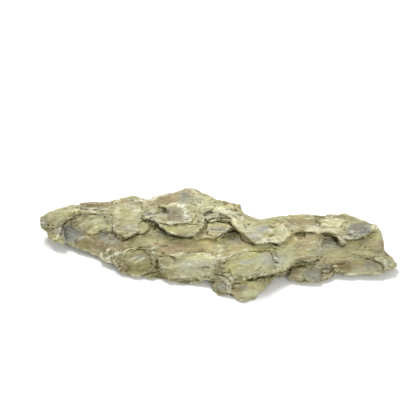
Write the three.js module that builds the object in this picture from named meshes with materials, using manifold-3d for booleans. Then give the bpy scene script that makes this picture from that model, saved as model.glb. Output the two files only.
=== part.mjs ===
// A dragon stone: one piece of clay-brown stone, 300 mm long, lying on the worn flats of its underside.
// Its face slopes back from the ground to a ridge and is covered in overlapping scales with proud
// lower lips. Hollows and clefts are worn between them. The back carries scales too, more worn.
//
// Frame: millimetres, +X along the stone, +Y to the back, +Z up, origin on the ground under the middle.
// Scales and hollows are drawn in the coordinates of the side that they lie on: u along the stone,
// v up the slope and w out of it.

import * as THREE from "three";
import { mergeVertices } from "three/addons/utils/BufferGeometryUtils.js";
import { ImprovedNoise } from "three/addons/math/ImprovedNoise.js";
import Module from "manifold-3d";

const wasm = await Module();
wasm.setup();
const noise = new ImprovedNoise();
const { clamp, lerp, degToRad, seededRandom } = THREE.MathUtils;

// ---------------------------------------------------------------- driving dimensions

const LENGTH = 300;
const FACE_LEAN = degToRad(45); // how far the face leans back from upright
const REAR_LEAN = degToRad(-35); // how far the back leans forward
const UNDER_LEAN = degToRad(90); // the underside lies flat
const STATIONS = 38; // rings of the body along its length
const RING = 19; // points round each ring
const END_ROUND = 9; // length over which each tip closes in
const LUMP = { height: 1.6, size: 13 }; // the body's own unevenness
const ROUGH = { height: 0.6, size: 8 }; // the unevenness of a scale's face
const GRAIN_STRETCH = 2.2; // how much longer than high the grain's lumps are
const TIP_MARGIN = 3; // past these the body's depth is taken as it is this far in from a tip
const EDGE_MARGIN = 6; // or from the upper or lower edge of a side
const WORN_FLAT = 1.6; // height at which the underside is worn to flats that the stone rests on
const RIM_STEP = { scale: 6.6, hollow: 8.5, back: 9.5 }; // spacing of the points round each outline
const RIM_POINTS = { least: 9, most: 34 };
const CHIPS = 1.3; // how far a scale's rim is chipped in and out
const HOLLOW_CHIPS = 0.65; // and a hollow's
const UNDERCUT = 0.86; // where the foot of a lip lies, as a share of the way from centre to rim
const CROWN = { share: 0.6, left: 0.7 }; // how much of a scale's dome is left that far out
const BURIED = 6; // how deep a scale is rooted in the body
const WALL = { foot: 0.84, floor: 0.9 }; // where a hollow's wall ends, and how deep its floor is there
const SCOOP = 0.8; // below 1, a hollow's floor stays deep for longer before it runs out
const DIMPLE = { rim: 0.9, floor: 0.6, rise: 1 }; // where a dimple's rim and floor lie, and how far apart
const CLEAR = 16; // how far above the body a hollow is cut from
const FLARE = 1.2; // how much wider a hollow's cut is up there
const WANDER = 0.32; // share by which lengths, heights and places wander on the back and underside
const BELOW_RIDGE = 4; // how far below the ridge the back's scales stop
const REAR_TIP = 2; // and how far from the stone's tips
const REAR_SEED = 40; // another seed lays the back's scales out anew
const POCKET_SEED = 70; // and another its pockets

// The body's edges along its length, as [x, y, z]: the toe where the face meets the ground, the
// ridge along the top, the widest line of the back and the heel where the back meets the ground.
const TOE = [
  [-150, 4, 16], [-143, 1, 10], [-122, -8, 7], [-99, -20, 5], [-75, -36, 2], [-46, -41, 1],
  [-14, -41, 3], [2, -56, 2], [20, -66, 1], [36, -54, 3], [52, -40, 5], [84, -45, 1],
  [103, -37, 2], [139, -37, 4], [150, -32, 9],
];
const RIDGE = [
  [-150, 10, 21], [-136, 12, 26], [-108, 14, 33], [-77, 14, 41], [-59, 12, 38], [-50, 12, 43],
  [-38, 13, 45], [-26, 15, 50], [-15, 13, 48], [-6, 9, 43], [14, 5, 43], [20, -1, 40],
  [27, -6, 37], [39, -9, 36], [65, -4, 37], [96, -2, 36], [113, -3, 34], [126, -7, 31],
  [134, -12, 28], [138, -20, 23], [141, -28, 16], [150, -33, 10],
];
const BACK = [
  [-150, 10, 16], [-136, 18, 13], [-95, 25, 15], [-45, 27, 18], [-20, 27, 20], [0, 20, 18],
  [20, 11, 16], [45, 6, 15], [92, 8, 15], [130, -4, 12], [150, -31, 8],
];
const HEEL = [
  [-150, 7, 13], [-132, 13, 3], [-60, 21, 0], [0, 14, 0], [50, 2, 0], [95, 3, 0],
  [130, -8, 2], [150, -31, 7],
];
const FACE_BULGE = { low: 7, high: 6 }; // how far the face swells between toe and ridge
const FULL_SLOPE = 60; // a face this long, toe to ridge, swells all of that

// ---------------------------------------------------------------- the face, as outlines in u and v

// Each hollow is worn depth mm into the body at its upper edge, under the scale above it, and runs
// out to nothing at its lower edge, or towards another heading in degrees from +u.
const FACE_HOLLOWS = {
  dish: {
    depth: 8, fall: -50, centre: [-114, 12],
    outline: [[-132, 12], [-125, 20], [-111, 25.5], [-98, 26], [-86, 22], [-83, 8], [-90, -2],
      [-105, -8], [-119, -3], [-130, 2]],
  },
  band: {
    depth: 8, centre: [-32, 4],
    outline: [[-64, 9], [-54, 19], [-40, 12], [-22, 9], [0, 6], [4, -4], [0, -9], [-20, -9],
      [-48, -9], [-60, -4]],
  },
  cave: {
    depth: 12, centre: [12, 4],
    outline: [[0, 3], [5, 9], [12, 15], [20, 11], [32, 1], [26, -6], [8, -7]],
  },
  shelfShadow: { depth: 4, outline: [[30, 3], [44, 3], [58, 3], [62, -3], [44, -8], [28, -7]] },
  ledgeHole: { depth: 5, outline: [[60, 12], [74, 13], [80, 9], [74, 5], [62, 5]] },
  rightHollow: {
    depth: 10, fall: -60, centre: [106, -4],
    outline: [[86, 10], [97, 9], [108, 2], [124, 4], [133, -1], [130, -10], [112, -10], [99, -14],
      [88, -14], [85, -4]],
  },
  cleft: {
    depth: 8, centre: [3, -19],
    outline: [[0, -10], [6, -9], [9, -18], [9, -27], [3, -29], [-1, -20]],
  },
};

// Each scale stands lip mm proud of the body along its lower edge and root mm along its upper edge,
// or falls towards another heading in degrees from +u. Thick is the height of the lip itself.
const FACE_SCALES = {
  hornBar: {
    lip: 5, root: 0, dome: 1.5, centre: [-123, 27],
    outline: [[-149, 17], [-149, 22], [-145, 26], [-136, 29.5], [-122, 33], [-108, 35], [-95, 34],
      [-96, 27], [-106, 25.3], [-115, 24.8], [-122, 21.8], [-130, 17.2], [-138, 14.5],
      [-146, 14.5]],
  },
  hornRim: {
    lip: 3.5, root: 1, fall: 0,
    outline: [[-148, 17], [-140, 20], [-131, 18], [-131, 10], [-129, 4], [-127, 0.5], [-134, 0],
      [-140, 1.5], [-143, 5], [-143, 10]],
  },
  dishLeaf: {
    lip: 0, root: -5, thick: 3, fall: -75,
    outline: [[-125, 13], [-121, 20], [-110, 25], [-98, 25.5], [-87, 22], [-86, 13], [-91, 9.5],
      [-97, 11.3], [-101, 9.5], [-105, 7.5], [-110, 8.5], [-117, 11.5]],
  },
  leftSlab: {
    lip: 6, root: -1, dome: 0.5, centre: [-74, 22],
    outline: [[-90, 32], [-80, 40], [-66, 40], [-57, 36], [-54, 28], [-55, 18], [-56, 10.5],
      [-61, 8.5], [-67, 9.3], [-72, 6.5], [-77, 3.5], [-80, 5], [-84, 8], [-89, 10.5], [-90, 20]],
  },
  tongue: {
    lip: 3.5, root: -1, thick: 3,
    outline: [[-24, 8], [-14, 12], [-9, 16], [0, 17], [9, 16], [12, 12], [8, 10.5], [4, 8],
      [1, 3.8], [-4, 4.5], [-8, 5.8], [-15, 4.6], [-22, 5]],
  },
  middleSlab: {
    lip: 9, root: -1, thick: 5, dome: 0.5, centre: [-33, 27],
    outline: [[-62, 20], [-60, 30], [-56, 36.5], [-44, 42.5], [-36, 42], [-26, 47], [-14, 43],
      [-4, 37], [-7, 31], [-12, 26], [-10, 20], [-11, 14], [-16, 10], [-21, 6], [-28, 6],
      [-36, 7], [-44, 10], [-49, 14.5], [-55, 18.5]],
  },
  middleTop: {
    lip: 8.2, root: 0, thick: 2, dome: 0.5, centre: [-38, 28],
    outline: [[-61, 21], [-59, 30], [-50, 37], [-38, 40], [-26, 38], [-20, 30], [-24, 18],
      [-38, 17], [-49, 16.5]],
  },
  archLayer: {
    lip: 6, root: 0, thick: 2.5, centre: [2, 27],
    outline: [[-12, 30], [0, 34], [14, 30], [17, 21], [14, 16], [9, 18.5], [3, 19.5], [-4, 19],
      [-9, 19.5], [-13, 24]],
  },
  crestSlab: {
    lip: 8, root: 2, thick: 5, dome: 0.5, centre: [16, 20], fall: -75,
    outline: [[-8, 36], [6, 36.5], [18.5, 34.5], [19, 30], [23, 25], [38, 22], [52, 22],
      [60, 20], [62, 12], [57, 4], [51, 0.5], [40, 1.5], [32, 0], [27, 4], [20, 9], [15, 12.5],
      [12, 15], [11, 20.3], [6, 22], [-2, 23.8], [-9, 25.5], [-14, 28]],
  },
  crestPatch: {
    lip: 9, root: 3, thick: 2, dome: 0.3, fall: -60, centre: [42, 8],
    outline: [[30, 16], [42, 18], [54, 15], [59, 8], [56, 4], [50, 2], [40, 3], [33, 2], [28, 6]],
  },
  pinkSlab: {
    lip: 5, root: -1, dome: 0.3,
    outline: [[52, 10], [45, 18], [50, 23], [62, 24.5], [75, 24], [84, 23], [86, 16], [89, 9.5],
      [80, 10], [72, 11], [64, 9.8]],
  },
  greySlab: {
    lip: 8, root: -1, thick: 5, dome: 0.5, centre: [106, 13],
    outline: [[84, 11], [84.5, 21], [90, 24], [96, 25.5], [112, 24.5], [122, 20], [129, 15.5],
      [132, 11], [127, 9], [120, 6], [113, 3], [107, 0], [102, -1], [101, 3], [98, 6.5],
      [92, 8.5]],
  },
  greyOval: {
    lip: 8.2, root: 3, thick: 2, dome: 1.2,
    outline: [[105, 12], [110, 18], [119, 20], [127, 17], [129, 12], [122, 8.5], [112, 7.5]],
  },
  shoulder: {
    lip: 2.5, root: 0, dome: 2, fall: -40,
    outline: [[116, 7], [126, 12], [132, 11.5], [136.5, 7], [137, 2], [135, -3], [127, -4], [119, 0]],
  },
  column: {
    lip: 4, root: 0, dome: 0.5, centre: [70, -3],
    outline: [[55, -2], [60, 5], [66, 8], [76, 7.5], [86, 7], [87, -2], [84, -10], [79, -15],
      [71, -14], [63, -16.5], [58, -19.5], [54, -15], [53, -8]],
  },
  lowRight: {
    lip: 4, root: 1, dome: 0.5,
    outline: [[96, -14], [106, -9.5], [118, -10.5], [130, -14], [140, -18.5], [143, -22], [132, -25.5],
      [115, -26], [102, -25], [94, -21]],
  },
  wing: {
    lip: 3, root: 0, dome: 0.5, fall: -100, centre: [132, -10],
    outline: [[122, -1], [132, -1], [137, -4], [141, -11], [149, -18], [147, -21], [140, -19.5],
      [131, -15], [120, -10.8], [110, -8], [113, -4]],
  },
  leftScallop: {
    lip: 1.5, root: 5, dome: 0.5, fall: -50,
    outline: [[-89, -14], [-83, -7], [-76, -3.5], [-69, -2.5], [-60, -5], [-54, -9], [-50, -15],
      [-49, -22], [-54, -27], [-64, -27.5], [-75, -25.5], [-83, -21]],
  },
  whiteKnob: {
    lip: 3, root: 1,
    outline: [[-100, -8], [-96, -4], [-88, -4], [-81, -6], [-83, -12], [-88, -16], [-95, -14]],
  },
  kneeKnob: {
    lip: 4, root: 2, dome: 2,
    outline: [[-7, -31], [-5, -26], [2, -25], [8, -27.5], [12, -32], [12, -39], [6, -42.5],
      [0, -42], [-5, -37]],
  },
  footLobe: {
    lip: 3, root: 0, dome: 2.5, centre: [27, -37],
    outline: [[11, -32], [20, -28.5], [32, -27], [44, -24], [48, -28], [40, -35], [32, -43],
      [24, -47.5], [16, -46.5], [11, -41]],
  },
  middleScale: {
    lip: 5, root: 3.5, thick: 5, dome: 1, centre: [-25, -19],
    outline: [[-50, -18], [-51, -12], [-48, -8.5], [-40, -7.5], [-34, -8.5], [-20, -6.5], [-8, -7],
      [-2, -9.5], [-0.5, -16], [-1, -24], [-4, -29.5], [-12, -30], [-16, -32], [-26, -32.5],
      [-36, -31.5], [-43, -28], [-47, -23]],
  },
  rightScale: {
    lip: 8, root: 1, thick: 6, dome: 1.5, centre: [34, -17],
    outline: [[6, -13], [12, -9.5], [25, -7], [38, -5.5], [46, -4], [56, -6], [60, -12],
      [60, -18], [54, -22.5], [47, -24], [40, -26.5], [32, -28], [22, -28.5], [13, -28.5],
      [8, -24], [5, -18]],
  },
  lowLobe: {
    lip: 3, root: 0, dome: 0.8, centre: [76, -24],
    outline: [[57, -22], [60, -19.5], [70, -17.5], [78, -16], [87, -17], [96, -19], [100, -24],
      [93, -29], [84, -32], [70, -31], [60, -30]],
  },
  greyKnob: {
    lip: 4.4, root: 1.5, thick: 3, dome: 0.5,
    outline: [[72, -20], [78, -16], [85, -18], [87, -25], [84, -31], [77, -30], [72, -27]],
  },
};

// Dimples are cut last, through the scales. A negative depth stays that far above the body.
const FACE_DIMPLES = {
  archPocket: {
    depth: 1,
    outline: [[-9, 13], [-8, 18], [1, 19.5], [9, 19], [11.5, 14], [6, 10], [-4, 9]],
  },
  scaleDimple: {
    depth: -3,
    outline: [[-49, -14], [-47, -10], [-42, -9], [-38, -11], [-37, -15], [-41, -19]],
  },
  peakNotch: {
    depth: -3,
    outline: [[-53, 33], [-47, 32], [-41, 29], [-40, 25], [-46, 27], [-52, 30]],
  },
};

// ---------------------------------------------------------------- the back and the underside

// The back's scales are laid in rows, each about this long and a little taller than its row.
const REAR_SCALES = { rows: 2, perRow: 8, spacing: 37, length: 54, lip: 3.8, root: -1.5, thick: 3 };

// Pockets are worn through the back's scales, as [u, v, half length, half height].
const REAR_POCKETS = { depth: 6, places: [[-92, 9, 20, 8], [10, 12, 24, 9], [84, 15, 17, 8]] };

// Wider ones arch the underside between the worn flats that the stone rests on.
const UNDER_POCKETS = {
  depth: 7,
  places: [[100, 6, 28, 16], [36, -12, 28, 18], [-30, -22, 24, 20], [-88, -14, 26, 14]],
};

// ---------------------------------------------------------------- shared shapes

// An unevenness between about -1 and 1, drawn out along the stone as its grain is.
function grain(p, size, seed = 0) {
  const long = size * GRAIN_STRETCH;
  return 1.6 * noise.noise(p.x / long + seed, p.y / size - seed, p.z / size + 0.37 * seed);
}

// The closed solid of a geometry, once its shared corners are merged and collapsed faces dropped.
function solidFrom(geometry) {
  const bare = geometry.toNonIndexed();
  bare.deleteAttribute("normal");
  bare.deleteAttribute("uv");
  const merged = mergeVertices(bare, 1e-3);
  const corners = Array.from(merged.index.array);
  const triVerts = [];
  for (let i = 0; i < corners.length; i += 3) {
    const [a, b, c] = corners.slice(i, i + 3);
    if (a !== b && b !== c && a !== c) triVerts.push(a, b, c);
  }
  return new wasm.Manifold(new wasm.Mesh({
    numProp: 3,
    vertProperties: merged.getAttribute("position").array,
    triVerts: new Uint32Array(triVerts),
  }));
}

function geometryFrom(solid) {
  const mesh = solid.getMesh();
  const geometry = new THREE.BufferGeometry();
  geometry.setAttribute("position", new THREE.BufferAttribute(mesh.vertProperties, 3));
  geometry.setIndex(new THREE.BufferAttribute(mesh.triVerts, 1));
  return geometry;
}

// ---------------------------------------------------------------- body

// The point [y, z] of an edge line at x, on a smooth curve through its points.
function edgeAt(points, x) {
  const last = points.length - 1;
  let i = 0;
  while (i < last - 1 && points[i + 1][0] < x) i += 1;
  const [from, to] = [points[i], points[i + 1]];
  const before = points[Math.max(i - 1, 0)];
  const after = points[Math.min(i + 2, last)];
  const span = to[0] - from[0];
  const t = clamp((x - from[0]) / span, 0, 1);
  const [y, z] = [1, 2].map((axis) => {
    const leaving = ((to[axis] - before[axis]) / (to[0] - before[0])) * span;
    const arriving = ((after[axis] - from[axis]) / (after[0] - from[0])) * span;
    return (2 * t ** 3 - 3 * t ** 2 + 1) * from[axis] + (t ** 3 - 2 * t ** 2 + t) * leaving
      + (3 * t ** 2 - 2 * t ** 3) * to[axis] + (t ** 3 - t ** 2) * arriving;
  });
  return new THREE.Vector2(y, z);
}

// The closed outline of the body's section at x, from the toe up the face and round the back.
function sectionAt(x) {
  const [toe, ridge, back, heel] = [TOE, RIDGE, BACK, HEEL].map((line) => edgeAt(line, x));
  const slope = ridge.clone().sub(toe);
  const outward = new THREE.Vector2(-slope.y, slope.x).normalize();
  const swell = Math.min(1, slope.length() / FULL_SLOPE);
  const low = toe.clone().lerp(ridge, 0.3).addScaledVector(outward, FACE_BULGE.low * swell);
  const high = toe.clone().lerp(ridge, 0.7).addScaledVector(outward, FACE_BULGE.high * swell);
  const under = toe.clone().lerp(heel, 0.5);
  const corners = [toe, low, high, ridge, back, heel, under].map((p) => new THREE.Vector3(x, p.x, p.y));
  return new THREE.CatmullRomCurve3(corners, true, "centripetal");
}

// A sphere geometry gives the mesh: each of its rows becomes one ring of the body.
function bodyGeometry() {
  const geometry = new THREE.SphereGeometry(1, RING, STATIONS);
  const place = geometry.getAttribute("position");
  for (let station = 0; station <= STATIONS; station += 1) {
    const along = station / STATIONS - 0.5;
    const x = LENGTH * (0.5 * along + 0.25 * Math.sin(along * Math.PI));
    const inTip = Math.max(0, 1 - (LENGTH / 2 - Math.abs(x)) / END_ROUND);
    const closing = Math.sqrt(Math.max(0, 1 - inTip * inTip));
    const ring = sectionAt(x).getSpacedPoints(RING).slice(0, RING);
    const centre = ring.reduce((sum, p) => sum.add(p), new THREE.Vector3()).divideScalar(RING);
    for (let k = 0; k <= RING; k += 1) {
      const outward = ring[k % RING].clone().sub(centre);
      const p = centre.clone().addScaledVector(outward, closing);
      p.addScaledVector(outward.normalize(), LUMP.height * closing * grain(p, LUMP.size));
      place.setXYZ(station * (RING + 1) + k, p.x, p.y, p.z);
    }
  }
  return geometry;
}

const body = new THREE.Mesh(bodyGeometry(), new THREE.MeshBasicMaterial({ side: THREE.DoubleSide }));

// ---------------------------------------------------------------- the sides

// A side of the stone: its directions, the span of v at u, and how far out the body lies at (u, v).
// As each side is looked at, u runs to the right, so along +X on the face and along -X on the others.
function sideOf(heading, lean) {
  const right = new THREE.Vector3(heading, 0, 0);
  const up = new THREE.Vector3(0, Math.sin(lean), Math.cos(lean));
  const out = right.clone().cross(up);
  const caster = new THREE.Raycaster();
  const fromSide = (u, v, w) => new THREE.Vector3()
    .addScaledVector(right, u).addScaledVector(up, v).addScaledVector(out, w);
  const span = (u) => {
    const x = clamp(u * right.x, -LENGTH / 2, LENGTH / 2);
    const heights = sectionAt(x).getPoints(70).map((p) => p.dot(up));
    return [Math.min(...heights), Math.max(...heights)];
  };
  const depth = (u, v) => {
    const along = clamp(u, TIP_MARGIN - LENGTH / 2, LENGTH / 2 - TIP_MARGIN);
    const [low, high] = span(along);
    const margin = Math.min(EDGE_MARGIN, (high - low) / 4);
    caster.set(fromSide(along, clamp(v, low + margin, high - margin), LENGTH), out.clone().negate());
    const [hit] = caster.intersectObject(body);
    return hit.point.dot(out);
  };
  return { fromSide, span, depth };
}

const face = sideOf(1, FACE_LEAN);
const rear = sideOf(-1, REAR_LEAN);
const under = sideOf(-1, UNDER_LEAN);

// ---------------------------------------------------------------- scales and hollows

// The rim of a drawn outline as evenly spaced points, and the same rim chipped in and out by two
// waves that don't fall into step.
function rimsOf(outline, centre, step, chips, seed) {
  const corners = outline.map(([u, v]) => new THREE.Vector3(u, v, 0));
  const curve = new THREE.CatmullRomCurve3(corners, true, "centripetal");
  const count = clamp(Math.round(curve.getLength() / step), RIM_POINTS.least, RIM_POINTS.most);
  const smooth = curve.getSpacedPoints(count).slice(0, count);
  if (THREE.ShapeUtils.isClockWise(smooth)) smooth.reverse();
  const chipped = smooth.map((p, k) => {
    const outward = new THREE.Vector3(p.x - centre[0], p.y - centre[1], 0).normalize();
    const chip = Math.sin(k * 2.4 + seed * 1.7) * Math.cos(k * 0.9 + seed);
    return p.clone().addScaledVector(outward, chips * chip);
  });
  return { smooth, chipped };
}

function middleOf(outline) {
  const us = outline.map((p) => p[0]);
  const vs = outline.map((p) => p[1]);
  return [(Math.min(...us) + Math.max(...us)) / 2, (Math.min(...vs) + Math.max(...vs)) / 2];
}

// A closed form drawn ring by ring from a sphere geometry. Each ring is a rim drawn in towards the
// centre to its share of the radius, at a height w that depends on where it is.
function ringedSolid(side, centre, rings) {
  const count = rings[0].rim.length;
  const geometry = new THREE.SphereGeometry(1, count, rings.length - 1);
  const place = geometry.getAttribute("position");
  rings.forEach(({ rim, share, height }, row) => {
    for (let k = 0; k <= count; k += 1) {
      const edge = rim[k % count];
      const u = lerp(centre[0], edge.x, share);
      const v = lerp(centre[1], edge.y, share);
      const p = side.fromSide(u, v, height(u, v));
      place.setXYZ(row * (count + 1) + k, p.x, p.y, p.z);
    }
  });
  return solidFrom(geometry);
}

// How far from its upper edge, 0, to its lower edge, 1, a place in an outline lies.
function fallOf(outline, fall) {
  const heading = [Math.cos(degToRad(fall)), Math.sin(degToRad(fall))];
  const along = (u, v) => u * heading[0] + v * heading[1];
  const reach = outline.map(([u, v]) => along(u, v));
  const [top, bottom] = [Math.min(...reach), Math.max(...reach)];
  return (u, v) => clamp((along(u, v) - top) / (bottom - top), 0, 1);
}

// A scale's face rises from its root to its lip, its lip is undercut, and the rest is buried.
function scale(side, spec) {
  const { outline, centre = middleOf(outline), fall = -90, lip, root, thick = 4, dome = 1, seed } = spec;
  const { smooth, chipped } = rimsOf(outline, centre, spec.step ?? RIM_STEP.scale, CHIPS, seed);
  const fallen = fallOf(outline, fall);
  const top = (crown) => (u, v) => {
    const raised = lerp(root, lip, fallen(u, v)) + dome * crown;
    const rough = ROUGH.height * grain(new THREE.Vector3(u, v, 9 * seed), ROUGH.size, seed);
    return side.depth(u, v) + raised + rough;
  };
  const foot = (u, v) => top(0)(u, v) - thick;
  const buried = (u, v) => side.depth(u, v) - BURIED;
  return ringedSolid(side, centre, [
    { rim: smooth, share: 0, height: top(1) },
    { rim: smooth, share: CROWN.share, height: top(CROWN.left) },
    { rim: chipped, share: 1, height: top(0) },
    { rim: chipped, share: UNDERCUT, height: foot },
    { rim: smooth, share: 0, height: buried },
  ]);
}

// A hollow has a steep wall at its upper edge and a floor that rises to its lower edge.
function hollow(side, { outline, centre = middleOf(outline), fall = -90, depth, seed }) {
  const { smooth, chipped } = rimsOf(outline, centre, RIM_STEP.hollow, HOLLOW_CHIPS, seed);
  const fallen = fallOf(outline, fall);
  const floor = (share) => (u, v) => side.depth(u, v) - depth * share * (1 - fallen(u, v)) ** SCOOP;
  const above = (u, v) => side.depth(u, v) + CLEAR;
  return ringedSolid(side, centre, [
    { rim: smooth, share: 0, height: above },
    { rim: smooth, share: FLARE, height: above },
    { rim: chipped, share: 1, height: floor(0) },
    { rim: chipped, share: WALL.foot, height: floor(WALL.floor) },
    { rim: smooth, share: 0, height: floor(1) },
  ]);
}

// A dimple has a level floor.
function dimple(side, { outline, centre = middleOf(outline), depth, seed }) {
  const { smooth, chipped } = rimsOf(outline, centre, RIM_STEP.hollow, HOLLOW_CHIPS, seed);
  const floor = (raised) => (u, v) => side.depth(u, v) - depth + raised;
  const above = (u, v) => side.depth(u, v) + CLEAR;
  return ringedSolid(side, centre, [
    { rim: smooth, share: 0, height: above },
    { rim: smooth, share: FLARE, height: above },
    { rim: chipped, share: DIMPLE.rim, height: floor(DIMPLE.rise) },
    { rim: chipped, share: DIMPLE.floor, height: floor(0) },
    { rim: smooth, share: 0, height: floor(0) },
  ]);
}

// An uneven round outline, as a worn scale or pocket has.
function roundOutline(u, v, halfLength, halfHeight, wandering) {
  const corners = 8;
  return Array.from({ length: corners }, (_, i) => {
    const turn = (2 * Math.PI * i) / corners;
    const reach = wandering();
    return [u + halfLength * Math.cos(turn) * reach, v + halfHeight * Math.sin(turn) * reach];
  });
}

// A source of factors near 1, up to WANDER more or less, that repeats itself from the same seed.
function wanderFrom(seed) {
  seededRandom(seed);
  return () => 1 + WANDER * (seededRandom() * 2 - 1);
}

// One of the back's scales: the rows climb from the heel, each shifted half a scale from the last.
function rearScale(row, place) {
  const { rows, spacing, length, lip, root, thick } = REAR_SCALES;
  const seed = REAR_SEED + row * (2 * REAR_SCALES.perRow + 1) + place;
  const wandering = wanderFrom(seed);
  const u = spacing * (place + 0.5 * row + 0.4 * wandering()) - LENGTH / 2;
  const [low, high] = rear.span(u);
  const rise = (high - low) / rows;
  const v = low + rise * (row + 0.45);
  const outline = roundOutline(u, v, (length / 2) * wandering(), rise * 0.55, wandering).map((p) => [
    clamp(p[0], REAR_TIP - LENGTH / 2, LENGTH / 2 - REAR_TIP),
    Math.min(p[1], high - BELOW_RIDGE),
  ]);
  const fall = -90 * wandering();
  return scale(rear, { outline, fall, lip: lip * wandering(), root, thick, seed, step: RIM_STEP.back });
}

function pocket(side, { depth, places }, i) {
  const [u, v, halfLength, halfHeight] = places[i];
  const outline = roundOutline(u, v, halfLength, halfHeight, wanderFrom(POCKET_SEED + i));
  return hollow(side, { outline, depth, seed: i + 1 });
}

// ---------------------------------------------------------------- the stone

// The outer body alone: a pocket that a scale has closed over is filled.
function wholeStone(solid) {
  return solid.decompose().reduce((best, piece) => (piece.volume() > best.volume() ? piece : best));
}

// The stone with everything below its worn flats taken off.
function wornFlat(solid) {
  const below = new THREE.BoxGeometry(2 * LENGTH, LENGTH, LENGTH / 2);
  below.translate(0, 0, WORN_FLAT - LENGTH / 4);
  return solid.subtract(solidFrom(below));
}

let stone = solidFrom(body.geometry);
Object.values(FACE_HOLLOWS).forEach((spec, i) => {
  stone = stone.subtract(hollow(face, { ...spec, seed: i + 1 }));
});
for (let row = 0; row < REAR_SCALES.rows; row += 1) {
  for (let place = 0; place < REAR_SCALES.perRow; place += 1) stone = stone.add(rearScale(row, place));
}
REAR_POCKETS.places.forEach((_, i) => {
  stone = stone.subtract(pocket(rear, REAR_POCKETS, i));
});
Object.values(FACE_SCALES).forEach((spec, i) => {
  stone = stone.add(scale(face, { ...spec, seed: i + 1 }));
});
Object.values(FACE_DIMPLES).forEach((spec, i) => {
  stone = stone.subtract(dimple(face, { ...spec, seed: i + 1 }));
});
UNDER_POCKETS.places.forEach((_, i) => {
  stone = stone.subtract(pocket(under, UNDER_POCKETS, i));
});
stone = wholeStone(wornFlat(stone));

const material = new THREE.MeshStandardMaterial({ color: 0xa9a278, roughness: 0.9, metalness: 0 });
const geometry = geometryFrom(stone);
geometry.computeBoundingBox();
const middle = geometry.boundingBox.getCenter(new THREE.Vector3());
geometry.translate(-middle.x, -middle.y, -geometry.boundingBox.min.z);
const mesh = new THREE.Mesh(geometry, material);
mesh.name = "stone";
const group = new THREE.Group();
group.add(mesh);
export default group;
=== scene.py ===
import math

import bpy
import numpy as np
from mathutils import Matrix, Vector, noise


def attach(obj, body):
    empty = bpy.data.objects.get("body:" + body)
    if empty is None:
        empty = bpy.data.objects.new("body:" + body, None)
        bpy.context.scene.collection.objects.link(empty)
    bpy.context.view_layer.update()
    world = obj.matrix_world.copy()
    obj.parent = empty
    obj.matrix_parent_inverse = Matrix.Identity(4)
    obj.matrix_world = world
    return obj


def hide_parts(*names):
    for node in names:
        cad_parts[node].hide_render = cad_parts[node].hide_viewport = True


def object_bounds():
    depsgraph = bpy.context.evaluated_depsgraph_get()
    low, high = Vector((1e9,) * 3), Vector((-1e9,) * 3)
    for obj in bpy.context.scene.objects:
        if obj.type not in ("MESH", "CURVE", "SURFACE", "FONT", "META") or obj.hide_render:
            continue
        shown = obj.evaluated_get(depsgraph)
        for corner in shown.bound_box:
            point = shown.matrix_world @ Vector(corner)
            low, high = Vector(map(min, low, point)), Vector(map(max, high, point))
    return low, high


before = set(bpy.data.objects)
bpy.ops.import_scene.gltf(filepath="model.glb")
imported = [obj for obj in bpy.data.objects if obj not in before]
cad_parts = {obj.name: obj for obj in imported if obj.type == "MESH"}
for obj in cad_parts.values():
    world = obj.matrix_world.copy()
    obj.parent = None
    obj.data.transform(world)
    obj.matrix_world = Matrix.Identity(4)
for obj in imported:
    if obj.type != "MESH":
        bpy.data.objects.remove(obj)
cad_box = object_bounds()

# ---------------------------------------------------------------- camera
# A long lens looks down on the stone's scaled face, square to its slope.
VIEW_LEAN = math.radians(45)
VIEW_DISTANCE = 2.0
view_up = Vector((0, math.sin(VIEW_LEAN), math.cos(VIEW_LEAN)))
view_out = Vector((0, -math.cos(VIEW_LEAN), math.sin(VIEW_LEAN)))
foot_middle = Vector((-0.0150, 0.0174, -0.0016))
view_middle = foot_middle + 0.0372 * view_up + 0.030 * view_out
bpy.ops.object.camera_add(location=view_middle + VIEW_DISTANCE * view_out, rotation=(VIEW_LEAN, 0, 0))
camera = bpy.context.object
camera.name = "camera"
camera.data.sensor_width = 36
camera.data.lens = 215.4
bpy.context.scene.camera = camera

# ---------------------------------------------------------------- floor and studio light
# A white table, a soft lamp overhead, a wide one in front and an even white room.
bpy.ops.mesh.primitive_plane_add(size=6)
floor = bpy.context.object
floor.name = "floor"
white_paint = bpy.data.materials.new("white_table")
white_paint.use_nodes = True
paint = white_paint.node_tree.nodes["Principled BSDF"].inputs
paint["Base Color"].default_value = (0.9, 0.9, 0.9, 1)
paint["Roughness"].default_value = 0.9
floor.data.materials.append(white_paint)


def studio_lamp(name, place, size, power):
    """A square lamp, turned towards the stone's middle."""
    bpy.ops.object.light_add(type="AREA", location=place)
    lamp = bpy.context.object
    lamp.name = name
    lamp.data.size = size
    lamp.data.energy = power
    lamp.rotation_euler = (Vector((0, 0, 0.02)) - Vector(place)).to_track_quat("-Z", "Y").to_euler()


studio_lamp("overhead_lamp", (-0.3, 0.5, 1.1), 0.5, 15)
studio_lamp("front_lamp", (0.6, -0.9, 0.8), 0.8, 5)
white_room = bpy.data.worlds.new("white_room")
white_room.use_nodes = True
walls = white_room.node_tree.nodes["Background"].inputs
walls["Color"].default_value = (1, 1, 1, 1)
walls["Strength"].default_value = 0.6
bpy.context.scene.world = white_room
bpy.context.scene.view_settings.view_transform = "Standard"

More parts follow.
